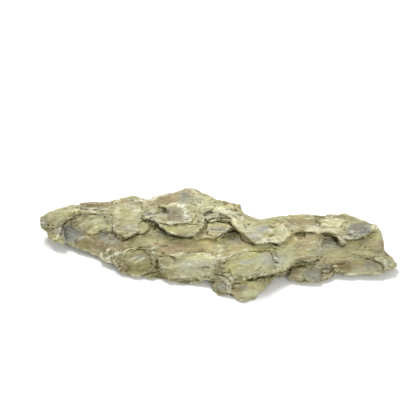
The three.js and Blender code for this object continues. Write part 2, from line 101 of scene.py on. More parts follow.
# ---------------------------------------------------------------- the stone's bulk
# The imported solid's copy is closed, recut into small even faces and eased, so that its facets
# no longer show and it can carry fine relief. From here to the tints, sizes are in millimetres.
FACE_SIZE = 0.98
OWN_SHARE = 0.3  # how much of its own value a corner keeps in each round of easing
SEED_STEP = 7.3  # how far apart in the noise two patterns are read
bpy.ops.object.select_all(action="DESELECT")
rock = bpy.data.objects.new("dragon_stone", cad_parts["stone"].data.copy())
bpy.context.collection.objects.link(rock)
rock.select_set(True)
bpy.context.view_layer.objects.active = rock
rock.data.materials.clear()
bpy.ops.object.mode_set(mode="EDIT")
bpy.ops.mesh.select_all(action="SELECT")
bpy.ops.mesh.remove_doubles(threshold=0.000001)
bpy.ops.object.mode_set(mode="OBJECT")
recut = rock.modifiers.new("recut", "REMESH")
recut.mode = "VOXEL"
recut.voxel_size = FACE_SIZE / 1000
bpy.ops.object.modifier_apply(modifier=recut.name)
ease = rock.modifiers.new("ease", "SMOOTH")
ease.factor = 0.5
ease.iterations = 4
bpy.ops.object.modifier_apply(modifier=ease.name)

corners = len(rock.data.vertices)
ties = np.empty(2 * len(rock.data.edges), np.int32)
rock.data.edges.foreach_get("vertices", ties)
ties = ties.reshape(-1, 2)
tie_count = np.bincount(ties.ravel(), minlength=corners)[:, None]


def placed():
    """Each corner's place."""
    flat = np.empty(3 * corners, np.float32)
    rock.data.vertices.foreach_get("co", flat)
    return flat.reshape(-1, 3).astype(float) * 1000


def place_at(places):
    rock.data.vertices.foreach_set("co", (places / 1000).astype(np.float32).ravel())
    rock.data.update()


def facing():
    """Each corner's outward direction."""
    flat = np.empty(3 * corners, np.float32)
    rock.data.vertex_normals.foreach_get("vector", flat)
    return flat.reshape(-1, 3).astype(float)


def eased(values, rounds):
    """Values of one or more columns, evened out between neighbouring corners."""
    values = values.reshape(corners, -1).astype(float)
    for _ in range(rounds):
        total = np.column_stack([
            np.bincount(ties[:, 0], values[ties[:, 1], k], corners)
            + np.bincount(ties[:, 1], values[ties[:, 0], k], corners)
            for k in range(values.shape[1])
        ])
        values = OWN_SHARE * values + (1 - OWN_SHARE) * total / tie_count
    return values


def swell(lie, size, seed, octaves=2):
    """Smooth unevenness from about -1 to 1, in lumps of this size along, up and out of the face."""
    lumps = lie / np.array(size) + SEED_STEP * seed
    return np.array([noise.fractal(p, 1.0, 2.0, octaves) for p in lumps.tolist()])


def ramp(values, low, high):
    """0 below low and 1 above high, with a smooth rise between."""
    share = np.clip((values - low) / (high - low), 0, 1)
    return share * share * (3 - 2 * share)


def faded(values):
    """1 where the values are 0, fading out on both sides."""
    return np.exp(-(values**2))


# ---------------------------------------------------------------- scales and flakes
# The scales weather unevenly. Their lips are sharpened here, the steps between them worn down, the
# recesses under them filled, and flakes about a millimetre thick laid on or taken off.
# The scaled face slopes back at 45 degrees.
FACE_UP = np.array([0, math.sqrt(0.5), math.sqrt(0.5)])
FACE_OUT = np.array([0, -math.sqrt(0.5), math.sqrt(0.5)])
ZERO_UP, ZERO_OUT = 11.17, -13.44  # where the face's own measures start
SHARPENED = 0.5  # how much further a lip stands out, as a share of what it does
SHARPEST = 1.1  # past this height a lip gains no more
FILL_DEPTH = 12  # below this depth a filling thins out again, and it ends at twice this

# A place is given as along the stone from its middle, and up its scaled face. A shape is either an
# outline of places, or an oval: a place, its half length and half height, and its turn in degrees
# if it has one. These three are used twice: a bluish recess near the left tip, a little scale
# beside it, and the bluish flake of the right end. Lists run from the left tip to the right end.
TIP_RECESS = [
    (-130, 16), (-126, 15.5), (-121, 13.5), (-119, 9), (-119, 4), (-122, 1), (-129, 1.5), (-130.5, 8),
]
LITTLE_SCALE = [(-102, 9), (-99, 11), (-95, 11.3), (-92.5, 9), (-92, 5), (-95, 2.5), (-100, 3), (-102, 6)]
BLUE_FLAKE = [
    (107.4, 13), (110, 16.4), (116, 18.4), (123, 18.4), (127, 16), (126.8, 12), (123.6, 9), (117.6, 7.6),
    (111.4, 8.2), (108, 10.4),
]
# Where the bulk is shallower than the solid, in the order of filling: an oval, the height out of the
# face down from which it is filled, and how much of the depth below that stays.
FILLED = [
    ((-50, 6, 17, 12), 34, 0.4), ((-25, 1, 18, 7), 40, 0.4), ((105, -5, 24, 9), 36, 0.35),
    ((3, -15, 8, 11), 47, 0.35), ((-112, 14, 18, 11), 18, 0.5), ((11, 5, 11, 6), 37, 0.6),
    ((90, 6, 9, 6, -30), 34, 0.35), ((39, -1, 22, 7), 45, 0.35), ((22, -30, 14, 5, 12), 54, 0.5),
    ((14, -29, 7, 4), 54, 0.5), ((-55, 5, 14, 8), 38, 0.7), ((-54, 13, 5, 6), 36, 0.4),
    ((-12, 15, 5, 6), 38, 0.4), ((22, 5, 7, 5, -35), 43, 0.4), ((-34, -7.5, 7, 3), 41, 0.3),
    ((3, -23.5, 8, 3), 47.5, 0.4), ((15, -30, 6, 4), 54, 0.5), ((1, 17, 13, 5), 38, 0.5),
    ((60, 4, 9, 6), 42, 0.45), ((70, 8, 10, 4), 37, 0.6), ((-22, -5, 18, 3), 39, 0.5),
    ((-10, 3, 10, 3), 40, 0.6), ((-98, 0, 20, 7), 20, 0.6), ((72, 9, 9, 5), 36, 0.4),
    ((-106, 21, 15, 8), 20, 0.35), ((-126, 6, 6, 8), 13, 0.4),
]
# Where the steps between the scales are worn away: an oval, and how much.
WORN_AWAY = [
    ((-119, 3, 4, 4), 0.8), ((-118.5, 3, 3, 3), 0.8), ((-88, 20, 5, 12), 0.7), ((-80, 40, 5, 4), 0.9),
    ((-75, -16, 6, 4), 0.5), ((-56, 13, 4, 6), 0.9), ((-48, -26, 5, 4), 0.6), ((2, 1.5, 5, 3.5), 0.9),
    ((3, -16, 9, 11), 1), ((9.5, -21.5, 4, 4), 0.8), ((15, -28, 5, 5), 0.6), ((58, -4, 6, 7), 0.8),
    ((87, -5, 6, 9), 0.9), ((91, -17, 7, 3.4), 0.6), ((99, -12, 10, 4), 0.8), ((113, -3, 9, 8), 0.95),
    ((118, -12, 14, 4, -15), 0.5),
]
# Where the bulk comes out of the face, or goes in: a shape, and how far.
LIFTS = [
    ((-104, 13, 9, 4, 10), 0.5), ((-53, 14.2, 4, 2.2, -30), -1.3), ((-50.5, -20, 3, 2), -1),
    ((-45.5, 28.6, 4, 2.4, -25), -1), ((-12, -2, 15, 5), 1), ((0, -22.5, 3.4, 2, 10), 1),
    ((0.6, 13.5, 10.3, 6.5), 3.4), ((1.5, -15, 3, 2, 20), 1.2), ((4.5, -19.5, 3.4, 2.4, -20), 1.3),
    ((95, 3, 6, 3, -30), -1), ((117, 13, 10, 6, 8), 0.8),
]
# Flakes that have stayed or come away: a shape, its step, and how wide the step's slope is.
FLAKES = [
    (TIP_RECESS, -0.8, 2.4), ([(-118, 31), (-113, 35.5), (-90, 37), (-88, 30.5), (-105, 30)], 0.8, 1),
    ([(-112, 14), (-109, 9), (-105.5, 7.8), (-102.5, 9.5), (-100, 11), (-96, 12), (-92, 11), (-88, 14),
      (-88, 24), (-104, 25), (-112, 20)], 0.6, 1.4),
    (LITTLE_SCALE, -0.2, 1.6),
    ([(-85, -17), (-84, -20), (-81, -24), (-76, -24), (-76, -18), (-80, -16)], 0.8, 1.4),
    ([(-76, -6), (-72, -4), (-68, -4), (-62, -5.5), (-57, -8.5), (-54, -18), (-62, -24), (-74, -22),
      (-80, -14)], -0.8, 1.6),
    ([(-66, 17), (-64.5, 12), (-62, 10.5), (-55, 11), (-50, 13), (-52, 17), (-57, 20), (-62, 20)],
     -0.9, 1.2),
    ([(-63, -25.5), (-58, -24), (-50, -23), (-44, -22), (-41, -26), (-42, -30), (-50, -30), (-60, -29)],
     -0.5, 1.2),
    ([(-50, -10), (-45, -9), (-40, -9.7), (-37.5, -13), (-38, -16), (-42, -18), (-47, -17), (-50, -14.5)],
     1.4, 3.4),
    ([(-42, 31), (-38, 31.5), (-33, 31), (-30, 28), (-29, 24), (-31, 19.5), (-40, 19), (-43, 22), (-42, 26)],
     -0.7, 1.8),
    ([(-50, 17.3), (-23, 17.3), (-14, 20), (-12, 27), (-3, 30), (-3, 40), (-22, 49), (-46, 44), (-64, 36),
      (-62, 24), (-58, 20)], 0.9, 1),
    ([(-36, -9), (-30, -7.5), (-12, -8), (-5, -11), (-5, -20), (-6, -28), (-30, -28), (-37, -18)], 0.8, 1.6),
    ([(-24, 38), (-12, 38), (-14, 44), (-22, 46)], 0.6, 1),
    ([(-13, 26.5), (-9, 27), (-5, 28), (0, 26.6), (5, 24.5), (11, 22.5), (12, 16), (10, 11), (-10, 12),
      (-11, 19)], -0.45, 1.8),
    ([(-9, 21), (-5, 21.8), (2, 22.2), (9, 22), (11, 20), (10, 12), (-9.5, 12)], -0.5, 0.9),
    ([(0, 19.8), (8, 19.8), (10, 18.5), (11, 12), (-2, 12)], -0.4, 0.9),
    ([(5, -13), (9, -11.5), (14, -9.5), (20, -8), (35, -6), (42, -6), (45, -10), (46, -20), (40, -25),
      (8, -26)], 0.8, 2.6),
    ([(49, 14), (53, 12), (55, 8), (53, 4), (48, 4)], 0.4, 1),
    ([(49, 17), (56, 14), (59, 9), (57, 4), (51, 1), (46, 2), (48, 8)], 0.5, 1.2),
    ([(58, -26), (59, -21), (63, -19.5), (70, -19.5), (72, -24), (70, -30), (62, -30)], 0.8, 3),
    ([(64.6, 10), (72.6, 10.2), (72.6, 5), (66, 4.6)], -1.3, 0.9),
    ([(58, 16), (84, 17.5), (84, 22), (58, 21)], 0.5, 0.9),
    ([(85, 22), (100, 22.5), (104, 18), (103, 14.5), (95, 14), (85, 15)], 0.9, 0.9),
    ([(104, 9), (103.6, 5), (107, 3), (113, 2.8), (118, 3.6), (123, 6.4), (125, 9), (118, 7.2), (112, 7.8),
      (108, 10)], 0.4, 0.9),
    (BLUE_FLAKE, -0.6, 1),
    ([(130, -11), (136, -9.6), (140, -10), (143, -14), (141, -20), (138.6, -18), (136, -15), (131, -13.2)],
     0.6, 1.6),
]
# Where an edge is drawn out along the face: the place, the reach, and how far along and up.
PULLS = [
    (-149, 18.5, 3.6, -1.8, 0), (-147, 13, 4.5, -1.6, -0.6), (-133, 0, 5, 0, 1.2), (-128, 1.6, 4, 0, -1.3),
    (-125, 0, 4, 0, -0.8), (-122, -1, 6, -1, -2), (-98, -13, 5, 0, -1.2), (-59, 39, 6, 0, -2.2),
    (-51, 15.5, 5, 0.6, 1.5), (-46, -28, 7, 0, -3.2), (-42, 9, 5, 0.4, 0.8), (-37, 45, 6, 0, -1.4),
    (23, 25, 4, -1.5, 0), (30, -27.5, 6, 0, 1.4), (34, 22, 12, 0, -1.5), (54, -27, 8, 0, -2.6),
    (58.6, -20, 3.6, 1.3, 0), (88, 26, 12, 0, -1.5), (134, 14, 9, 2.5, 2.5), (141, -7, 5, -2, 0),
    (149, -18, 5, 0.6, -2),
]


def lie_of(places):
    """Each place as along the stone, up its face and out of it."""
    return np.column_stack([places[:, 0], places @ FACE_UP - ZERO_UP, places @ FACE_OUT - ZERO_OUT])


def wandering(lie):
    """Each place on the face, shifted a little so that nothing drawn there runs straight."""
    return lie[:, :2] + np.column_stack([
        0.9 * swell(lie, (6, 5, 5), 6, 3), 0.8 * swell(lie, (6, 4, 4), 7, 3)
    ])


def from_line(points):
    """Distance along the face from each corner's wandering place to a line through these points."""
    nearest = np.full(corners, np.inf)
    for start, end in zip(points, points[1:]):
        start, end = np.array(start, float), np.array(end, float)
        run = end - start
        share = np.clip((wander - start) @ run / (run @ run), 0, 1)
        nearest = np.minimum(nearest, np.linalg.norm(wander - start - share[:, None] * run, axis=1))
    return nearest


def patch(shape, soft):
    """1 inside a shape on the face and 0 outside it, with an edge this wide."""
    if isinstance(shape[0], tuple):
        inside = np.zeros(corners, bool)
        for (x, y), (to_x, to_y) in zip(shape, shape[1:] + shape[:1]):
            if y != to_y:
                crosses = (wander[:, 1] < y) != (wander[:, 1] < to_y)
                inside ^= crosses & (wander[:, 0] < x + (to_x - x) * (wander[:, 1] - y) / (to_y - y))
        deep = from_line(shape + shape[:1]) * np.where(inside, 1, -1)
    else:
        along, up, half_long, half_high, *turned = shape
        turn = math.radians(turned[0] if turned else 0)
        right, rise = wander[:, 0] - along, wander[:, 1] - up
        x = (right * math.cos(turn) + rise * math.sin(turn)) / half_long
        y = (rise * math.cos(turn) - right * math.sin(turn)) / half_high
        deep = (1 - np.hypot(x, y)) * min(half_long, half_high)
    return ramp(deep, -soft / 2, soft / 2)


rest = placed()
outward = facing()
proud = rest - eased(rest, 10)
rest += SHARPENED * proud / np.maximum(1, np.linalg.norm(proud, axis=1) / SHARPEST)[:, None]
lie = lie_of(rest)
wander = wandering(lie)
fronting = ramp(outward @ FACE_OUT, -0.1, 0.35)
for oval, brim, kept in FILLED:
    deep = np.clip(brim - lie_of(rest)[:, 2], 0, 2 * FILL_DEPTH)
    fill = (1 - kept) * np.where(deep < FILL_DEPTH, deep, 2 * FILL_DEPTH - deep)
    rest += FACE_OUT * (fill * patch(oval, soft=5))[:, None]
smoothest = eased(rest, 60)
raised = ramp(lie[:, 2], 12, 18)
for oval, share in WORN_AWAY:
    rest += (smoothest - rest) * (share * patch(oval, soft=5) * raised)[:, None]
for shape, lift in LIFTS:
    rest += FACE_OUT * (lift * patch(shape, soft=4) * fronting)[:, None]
for shape, step, slope in FLAKES:
    rest += FACE_OUT * (step * patch(shape, slope) * fronting)[:, None]
for along, up, reach, right, rise in PULLS:
    pull = np.exp(-(((lie[:, 0] - along) ** 2 + (lie[:, 1] - up) ** 2) / reach**2))[:, None]
    rest += pull * (np.array([right, 0, 0]) + rise * FACE_UP)

# ---------------------------------------------------------------- grain and layers
# The clay was laid down in thin beds that lie about level with the scaled face. Its grain runs
# along the stone and bends from scale to scale. Wear leaves the beds as low ledges, and the grain
# as ridges, fine lines and thin cracks.
LEDGE, THIN_BED = 1.7, 0.95  # how thick the beds are
BED_TILT = 0.22  # how far they lean from the face
# How far out the thin beds, the ridges and the lines stand, and how deep the thin cracks are.
STRATA_OUT, RIDGE_OUT, LINE_OUT, SPLIT_IN = 0.38, 0.65, 0.50, 0.75
# Where the grain climbs or falls: a place, the half length and height, and the slope in degrees.
BENDS = [
    (-122, 24, 26, 9, 14), (-108, 15, 14, 8, 16), (-96, 0, 18, 6, 4), (-92, 16, 10, 8, -14),
    (-74, 22, 12, 14, -3), (-68, -14, 16, 12, 38), (-44, 13, 12, 8, -22), (-42, 36, 12, 8, 24),
    (-27, 11, 10, 8, 12), (-20, 38, 14, 8, -22), (-20, -18, 18, 8, 2), (-4, 20, 10, 6, 8),
    (4, -35, 9, 8, -24), (12, -13, 12, 7, 26), (18, 18, 12, 9, -36), (28, -38, 14, 8, 20), (36, 8, 12, 6, 8),
    (36, -16, 14, 8, 16), (50, 6, 8, 8, -30), (70, -23, 14, 7, 12), (70, -4, 14, 8, 8), (72, 14, 14, 6, -6),
    (98, 14, 12, 8, -26), (108, -5, 20, 7, 7), (108, -19, 16, 5, 4), (118, 14, 12, 7, 14),
    (128, -15, 16, 6, -24),
]
# Where the face is worn smooth: an oval, and how smooth.
SMOOTH = [
    ((-137, 24, 13, 5, 15), 0.5), ((-124, 9, 9, 8), 0.8), ((-99, 6, 8, 4), 0.7), ((-97, -1, 22, 6, -6), 0.8),
    ((-75, 26, 14, 12), 0.5), ((-68, -10, 15, 6), 0.5), ((-66, -20, 14, 5), 0.7), ((-60, 3, 18, 6), 0.7),
    ((-60, 14, 6, 5), 0.7), ((-50, -26, 10, 4), 0.8), ((-44, -14, 7, 5), 0.6), ((-38, 24, 10, 8), 0.8),
    ((-38, 40, 18, 5, 8), 0.6), ((-36, -3, 18, 5), 0.75), ((-33, 12, 15, 6), 0.85),
    ((-18, -16, 22, 9), 0.65), ((-12, -1, 16, 5), 0.8), ((1, 12, 11, 7), 0.8), ((3, -35, 8, 7), 0.5),
    ((10, 4, 12, 6), 0.8), ((14, -2, 14, 5), 0.7), ((26, -15, 22, 9, 6), 0.75), ((26, -37, 16, 7, 10), 0.75),
    ((34, 10, 12, 7), 0.6), ((53, 9, 7, 8), 0.6), ((56, -9, 9, 9), 0.8), ((64, 6, 8, 5), 0.6),
    ((64, -25, 8, 6), 0.5), ((68, 8, 6, 4), 0.9), ((71, 19, 13, 3), 0.6), ((72, -2, 14, 9), 0.4),
    ((79, -25, 8, 7), 0.6), ((91, -16, 7, 3), 0.7), ((94, 18, 11, 4), 0.3), ((104, -5, 22, 9), 0.55),
    ((110, 6, 8, 2.4), 0.6), ((117, 13, 11, 7, 6), 0.75), ((120, -18, 24, 6, -4), 0.75),
    ((128, 0, 12, 10), 0.6),
]


def with_grain(lie):
    """The same, with up measured across the bent grain."""
    bent = lie.copy()
    for along, up, reach, height, slope in BENDS:
        near = np.exp(-(((lie[:, 0] - along) / reach) ** 2) - ((lie[:, 1] - up) / height) ** 2)
        bent[:, 1] -= math.tan(math.radians(slope)) * (lie[:, 0] - along) * near
    return bent


lie = lie_of(rest)
wander = wandering(lie)
rough = np.ones(corners)
for oval, smooth in SMOOTH:
    rough = np.minimum(rough, 1 - smooth * patch(oval, soft=4) * fronting)
grain = with_grain(lie)
bed = (
    grain[:, 2]
    + BED_TILT * grain[:, 1]
    + 2.2 * swell(grain, (46, 17, 17), 1)
    + 1.2 * swell(grain, (18, 5, 6), 2, 3)
)
layering = ramp(swell(grain, (34, 13, 13), 3), -0.35, 0.3)
ledges = bed / LEDGE
stepped = np.floor(ledges) + ramp(ledges % 1, 0.32, 0.68)
level = np.abs(outward @ FACE_OUT)
ledge_lift = (stepped - ledges) * LEDGE * (0.3 + 0.6 * layering) * ramp(level, 0.45, 0.9)

in_beds = np.column_stack([grain[:, 0] / 26, grain[:, 1] / 20, bed / THIN_BED])
strata = swell(in_beds, (1, 1, 1), 21, 3)
ridges = swell(grain, (24, 7, 7), 22)
lines = swell(grain, (17, 2.3, 2.3), 23, 3)
split = faded(swell(grain, (19, 4.5, 4.5), 24) / 0.05)
split *= ramp(swell(grain, (22, 9, 9), 25), 0.0, 0.3)
split *= ramp(rough, 0.3, 0.8)
relief = rough * (
    STRATA_OUT * strata * (0.4 + 0.7 * layering) * (1.2 - 0.6 * level)
    + RIDGE_OUT * ridges
    + LINE_OUT * lines * (0.55 + 0.6 * layering)
) - SPLIT_IN * split
rest = rest + outward * relief[:, None] + FACE_OUT * (rough * ledge_lift)[:, None]

# ---------------------------------------------------------------- chipped edges
# Each lip and crest is broken off unevenly, a few millimetres at a time.
WAVER_ALONG, WAVER_UP = 1.1, 0.9  # how far an edge wavers
CHIP_SIZE = (3.6, 2.6, 2.6)  # along, up and out of the face
CHIP_DEPTH = 0.75
lie = lie_of(rest)
rest[:, 0] += WAVER_ALONG * swell(lie, (6, 5, 5), 4)
rest += FACE_UP * (WAVER_UP * swell(lie, (7, 4, 4), 5))[:, None]
place_at(rest)

outward = facing()
crest = ((rest - eased(rest, 6)) * outward).sum(1)
cells = np.array([noise.cell(p) for p in (lie / np.array(CHIP_SIZE)).tolist()])
chips = ramp(crest, 0.12, 0.5) * (0.2 + 0.8 * cells)
rest -= outward * (CHIP_DEPTH * eased(chips, 1)[:, 0])[:, None]

# ---------------------------------------------------------------- cracks and pits
# Gaps stay open between the scales, and short cracks follow the beds. They and the pits are cut in
# a little and painted dark as shade. Each is a line through places on the face, its half width and
# its depth. A pit is a place and its radius.
# How deep a pit is cut, and how dark it is painted as shade.
PIT_DEPTH, PIT_SHADE = 1.4, 0.9
# The band along a crack is painted shade.
SHADE_WIDTH, SHADE_DARK = 2.6, 0.42  # the dim band along a crack: how many times as wide, how dark
CRACKS = [
    # left tip
    ([(-132, 8), (-131, 12), (-130, 16.4), (-126.6, 18.8), (-121, 22), (-115.6, 25)], 0.8, 1.4),
    ([(-129, 13), (-126, 15.2), (-122, 13.8)], 0.6, 0.3), ([(-123, 18), (-119, 19), (-116, 18)], 0.7, 0.4),
    # left scales
    ([(-118, 5.5), (-113, 8.6), (-109, 9), (-107, 7.5)], 0.5, 0.2),
    ([(-115, 25), (-110, 25.3), (-103, 24.8)], 0.6, 0.3), ([(-112, 4), (-108, 6), (-104, 5.2)], 0.5, 0.4),
    ([(-104, 26.5), (-100, 27.2), (-96, 25.2)], 0.6, 0.4),
    ([(-101, 9), (-99, 10.8), (-96, 11.6), (-93.5, 10.8), (-92.5, 9)], 0.6, 0.5),
    ([(-88.8, 11), (-88.4, 8.5)], 0.8, 0.7), ([(-88.6, 24), (-88.2, 20), (-87.4, 17)], 0.6, 0.5),
    ([(-88.5, 10.6), (-84, 8.4), (-79.6, 6.4)], 1.1, 1.3), ([(-82, 9.8), (-79, 9.2), (-75, 9.4)], 0.7, 0.6),
    ([(-80, 3.9), (-77, 4), (-73, 5.5), (-70, 8), (-66, 9.5), (-61, 9.6)], 1, 1.4),
    ([(-76, -6), (-72, -4.2), (-68, -4), (-62, -5.4), (-57, -8.4)], 0.9, 0.8),
    # left of the middle
    ([(-61, 20.5), (-64, 19.5), (-66.3, 17), (-66, 14)], 0.7, 0.6),
    ([(-66, -2.4), (-62, -2), (-57, -2.2)], 0.7, 0.7), ([(-62, -25.2), (-57, -23.8), (-50, -23.2)], 0.8, 1),
    ([(-56, -16), (-52, -18), (-49, -20.4)], 1.2, 0.8), ([(-53, 1.4), (-49.6, 1.2)], 0.8, 0.6),
    ([(-49.4, 31.8), (-46.6, 30.2), (-44.4, 28.4)], 1.2, 1.2),
    ([(-51, -16.6), (-50.8, -14), (-50.2, -10.8), (-46.5, -9.3), (-43, -9), (-40, -9.6), (-38.4, -10.6)],
     0.8, 1.1),
    ([(-47, -1.2), (-43, -1)], 0.6, 0.4),
    ([(-62, 20.3), (-58, 19.9), (-54, 18.6), (-50.5, 16), (-49.5, 14), (-45, 11.5), (-41, 8.8), (-36, 7),
      (-30, 6.5), (-22, 5.6)], 1, 1.3),
    ([(-42, 0.2), (-38.5, 1.3), (-35.5, 0.5)], 0.5, 0.4),
    ([(-49.5, 17.1), (-40, 17.3), (-33, 17.2), (-24, 17.4)], 0.5, 0.3), ([(-35, 2), (-29, 3.6)], 0.6, 0.5),
    ([(-31, -31), (-24, -31)], 0.9, 0.8), ([(-28, 21.3), (-24.5, 21.3)], 0.6, 0.5),
    ([(-25, 27), (-22, 28.2), (-19, 27.6)], 0.6, 0.4), ([(-22, 35.5), (-15, 35.3)], 0.6, 0.5),
    ([(-22, 5.5), (-20, 8), (-16, 10.5), (-14.5, 13)], 0.7, 0.8),
    # middle
    ([(-17, -19.3), (-8, -19)], 0.6, 0.7), ([(-9.4, 18.6), (-10, 16.5), (-10.4, 13.6)], 0.8, 0.6),
    ([(-8, -29.8), (-4, -31)], 0.9, 0.8), ([(-9, 4.8), (-5, 5.3), (-2, 4.4)], 0.5, 0.35),
    ([(-1, -13), (-1.6, -17)], 0.7, 0.3),
    ([(-9, 18.6), (-8, 20.4), (-4, 21.8), (2, 22.2), (8, 22.4), (11, 21.5)], 0.7, 1),
    ([(-3, -24.6), (3, -25.6), (8, -28), (10, -30)], 0.7, 0.7),
    ([(0, -39.4), (4, -40.4), (10, -40.8)], 0.9, 0.8), ([(0, 26.6), (5, 24.4), (10, 22.6)], 0.8, 0.8),
    ([(-2, 4), (1, 6), (4, 8.6), (7, 10.5), (11, 11), (14, 11.5)], 1, 1.4),
    ([(-0.5, 20), (3, 19.6), (8, 19.8), (10.3, 18.6), (11.8, 16)], 0.8, 1.2),
    ([(5, -15.4), (7.6, -13), (10.6, -12.2)], 0.6, 0.5),
    ([(18, -31.6), (14, -31.4), (11.8, -32.6), (11.4, -36.4)], 0.9, 0.7),
    ([(12, 14.6), (15, 12.6), (18, 9), (19, 5), (22, 3), (27, 1.6), (31, -0.4)], 0.9, 0.9),
    # right of the middle
    ([(24, -17.6), (28, -16.8)], 0.5, 0.4), ([(31, -21.6), (34, -19.6), (36, -17.4)], 0.6, 0.7),
    ([(24, -28.4), (28, -28.8), (31, -28.6), (34, -27), (40, -26), (46, -25.8)], 1.2, 1.2),
    ([(42, 7.2), (45, 7)], 0.6, 0.5), ([(39, 1.4), (42, 1.5), (46, 0.6), (51, -0.8)], 1.3, 0.7),
    ([(42, -5.6), (44, -7), (45, -10), (46.5, -12.6), (50, -15.6)], 0.9, 0.5),
    ([(45, 8.6), (48, 8)], 0.6, 0.5), ([(47, -3), (48, -7), (50, -12)], 0.6, 0.5),
    ([(46, -25.8), (50, -24), (56, -22.4)], 1.2, 0.5), ([(58, -1.6), (54, -2), (50, -1)], 0.6, 0.4),
    ([(59, -21), (61, -18.8), (66, -18), (72, -18)], 0.9, 0.9),
    ([(64.6, 9.6), (68, 9.8), (72.4, 9.8)], 1.1, 1.1), ([(72.4, 9.6), (72.2, 6.8)], 0.7, 0.4),
    # right scales
    ([(73, 10), (80, 9.9), (86, 10.4)], 0.6, 0.7), ([(77, -16.6), (80, -18.6), (84, -20.4)], 0.6, 0.35),
    ([(85, 19.4), (84.6, 16)], 0.6, 0.5), ([(86, -23.8), (91.5, -23.6)], 0.6, 0.6),
    ([(85, 14.6), (92, 14.2), (100, 14.4)], 0.5, 0.4),
    ([(87, 9), (92, 8.6), (95, 7), (98, 5.2), (100, 2.6)], 1.4, 1.2),
    ([(96, -16.6), (101, -16.2), (106, -16)], 0.8, 0.7),
    ([(99.6, 1.4), (102, -0.8), (105.6, -0.6)], 1.1, 1.2),
    # right end
    ([(104.6, 4.6), (108, 3.4), (112, 3.2), (117, 4), (121, 5.4)], 0.8, 1),
    ([(105, 2.4), (110, 2.4), (116, 3), (119.6, 4.6)], 0.6, 0.5),
    ([(111, -8), (115, -8.4), (119, -9.6)], 0.6, 0.5),
    ([(123, -11.6), (126, -12.2), (131, -13.6), (134.6, -15.4), (137, -18), (137.8, -21.4)], 0.8, 0.9),
    ([(125.5, 9.8), (130, 10.5), (134, 9.4), (137.5, 7.6)], 0.6, 0.45),
]
PITS = [
    (-145, 13, 0.8), (-143, 16, 0.8), (-139, 15.5, 0.7), (-86, 8, 1.6), (-83, -18.4, 1.3),
    (-81.5, -22.6, 1.3), (-76, -22, 1.2), (-64, 22, 0.6), (-52, -18, 1.5), (-52, 1, 0.9), (-51, 3.6, 0.7),
    (-51, -19.4, 1.7), (-8.5, 11.3, 1), (4, 23, 0.7), (8, 25, 0.6), (25.5, 16.5, 0.9), (25.5, -3, 0.6),
    (80.5, -15.8, 0.6), (82.5, 20, 2), (83.5, -12.8, 0.8), (107, 19, 0.8), (122.5, -2, 0.9),
]
lie = lie_of(rest)
wander = wandering(lie)
seen = ramp(outward @ FACE_OUT, -0.15, 0.25)
# Painted shade in the cracks, in the pits and in the bands along the cracks.
crack_and_pit_shade = np.zeros(corners)
depth = np.zeros(corners)
for points, width, deep in CRACKS:
    away = from_line(points) / width
    opening = faded(away) * seen
    crack_and_pit_shade = np.maximum(crack_and_pit_shade, opening * min(1, 0.45 + 0.4 * deep))
    crack_and_pit_shade = np.maximum(crack_and_pit_shade, SHADE_DARK * faded(away / SHADE_WIDTH) * seen * min(1, deep))
    depth = np.maximum(depth, opening * deep)
for along, up, radius in PITS:
    opening = faded(np.hypot(wander[:, 0] - along, wander[:, 1] - up) / radius) * seen
    crack_and_pit_shade = np.maximum(crack_and_pit_shade, opening * PIT_SHADE)
    depth = np.maximum(depth, opening * PIT_DEPTH)
rest -= outward * (depth * ramp(outward @ FACE_OUT, 0.1, 0.55))[:, None]

# Splinters too thin for clay to hold are knocked off.
for _ in range(2):
    place_at(rest)
    thin = 1 - ramp(np.linalg.norm(eased(facing(), 2), axis=1), 0.5, 0.85)
    rest += (eased(rest, 4) - rest) * thin[:, None]

# ---------------------------------------------------------------- the underside's flats and the limits
# What the stone rests on stays flat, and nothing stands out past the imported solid.
FLAT_TOP = 0.15  # how far above the table a worn flat may end
MARGIN = 0.4  # how near the solid's outer limits the surface starts to be held back


def held_back(spare):
    """The distance that is left before a limit, eased so that it never runs out."""
    return np.where(spare < MARGIN, MARGIN * np.exp(np.minimum(spare / MARGIN - 1, 0)), spare)


flat = ramp(-outward[:, 2], 0.9, 0.98) * ramp(-placed()[:, 2], -1.0, -0.3)
rest[:, 2] = np.where(flat > 0.5, np.minimum(rest[:, 2], FLAT_TOP), rest[:, 2])
low, high = (1000 * np.array(c) for c in cad_box)
for side in (0, 1):
    rest[:, side] = low[side] + held_back(rest[:, side] - low[side])
    rest[:, side] = high[side] - held_back(high[side] - rest[:, side])
rest = np.clip(rest, low, high)
place_at(rest)

# ---------------------------------------------------------------- wear, dirt, painted highlight and shade
# Crests are worn pale and carry a painted highlight; crevices, cracks and pits hold dark clay and
# painted shade. Both follow from the shape, near and far.
outward = facing()
near = ((rest - eased(rest, 3)) * outward).sum(1)
far = ((rest - eased(rest, 40)) * outward).sum(1)
# Pale worn crests, partly a painted highlight on the edges of lips and on proud parts.
worn = ramp(near, 0.05, 0.30) * 0.7 + ramp(far, 0.4, 2.2) * 0.15
# Dark clay and painted shade in hollows, near and far, and in the cracks, pits and thin splits.
dirt_and_shade = ramp(-near, 0.05, 0.30) * 0.8 + ramp(-far, 0.5, 2.6) * 0.36
dirt_and_shade = np.maximum(dirt_and_shade, np.maximum(crack_and_pit_shade, 0.7 * split))

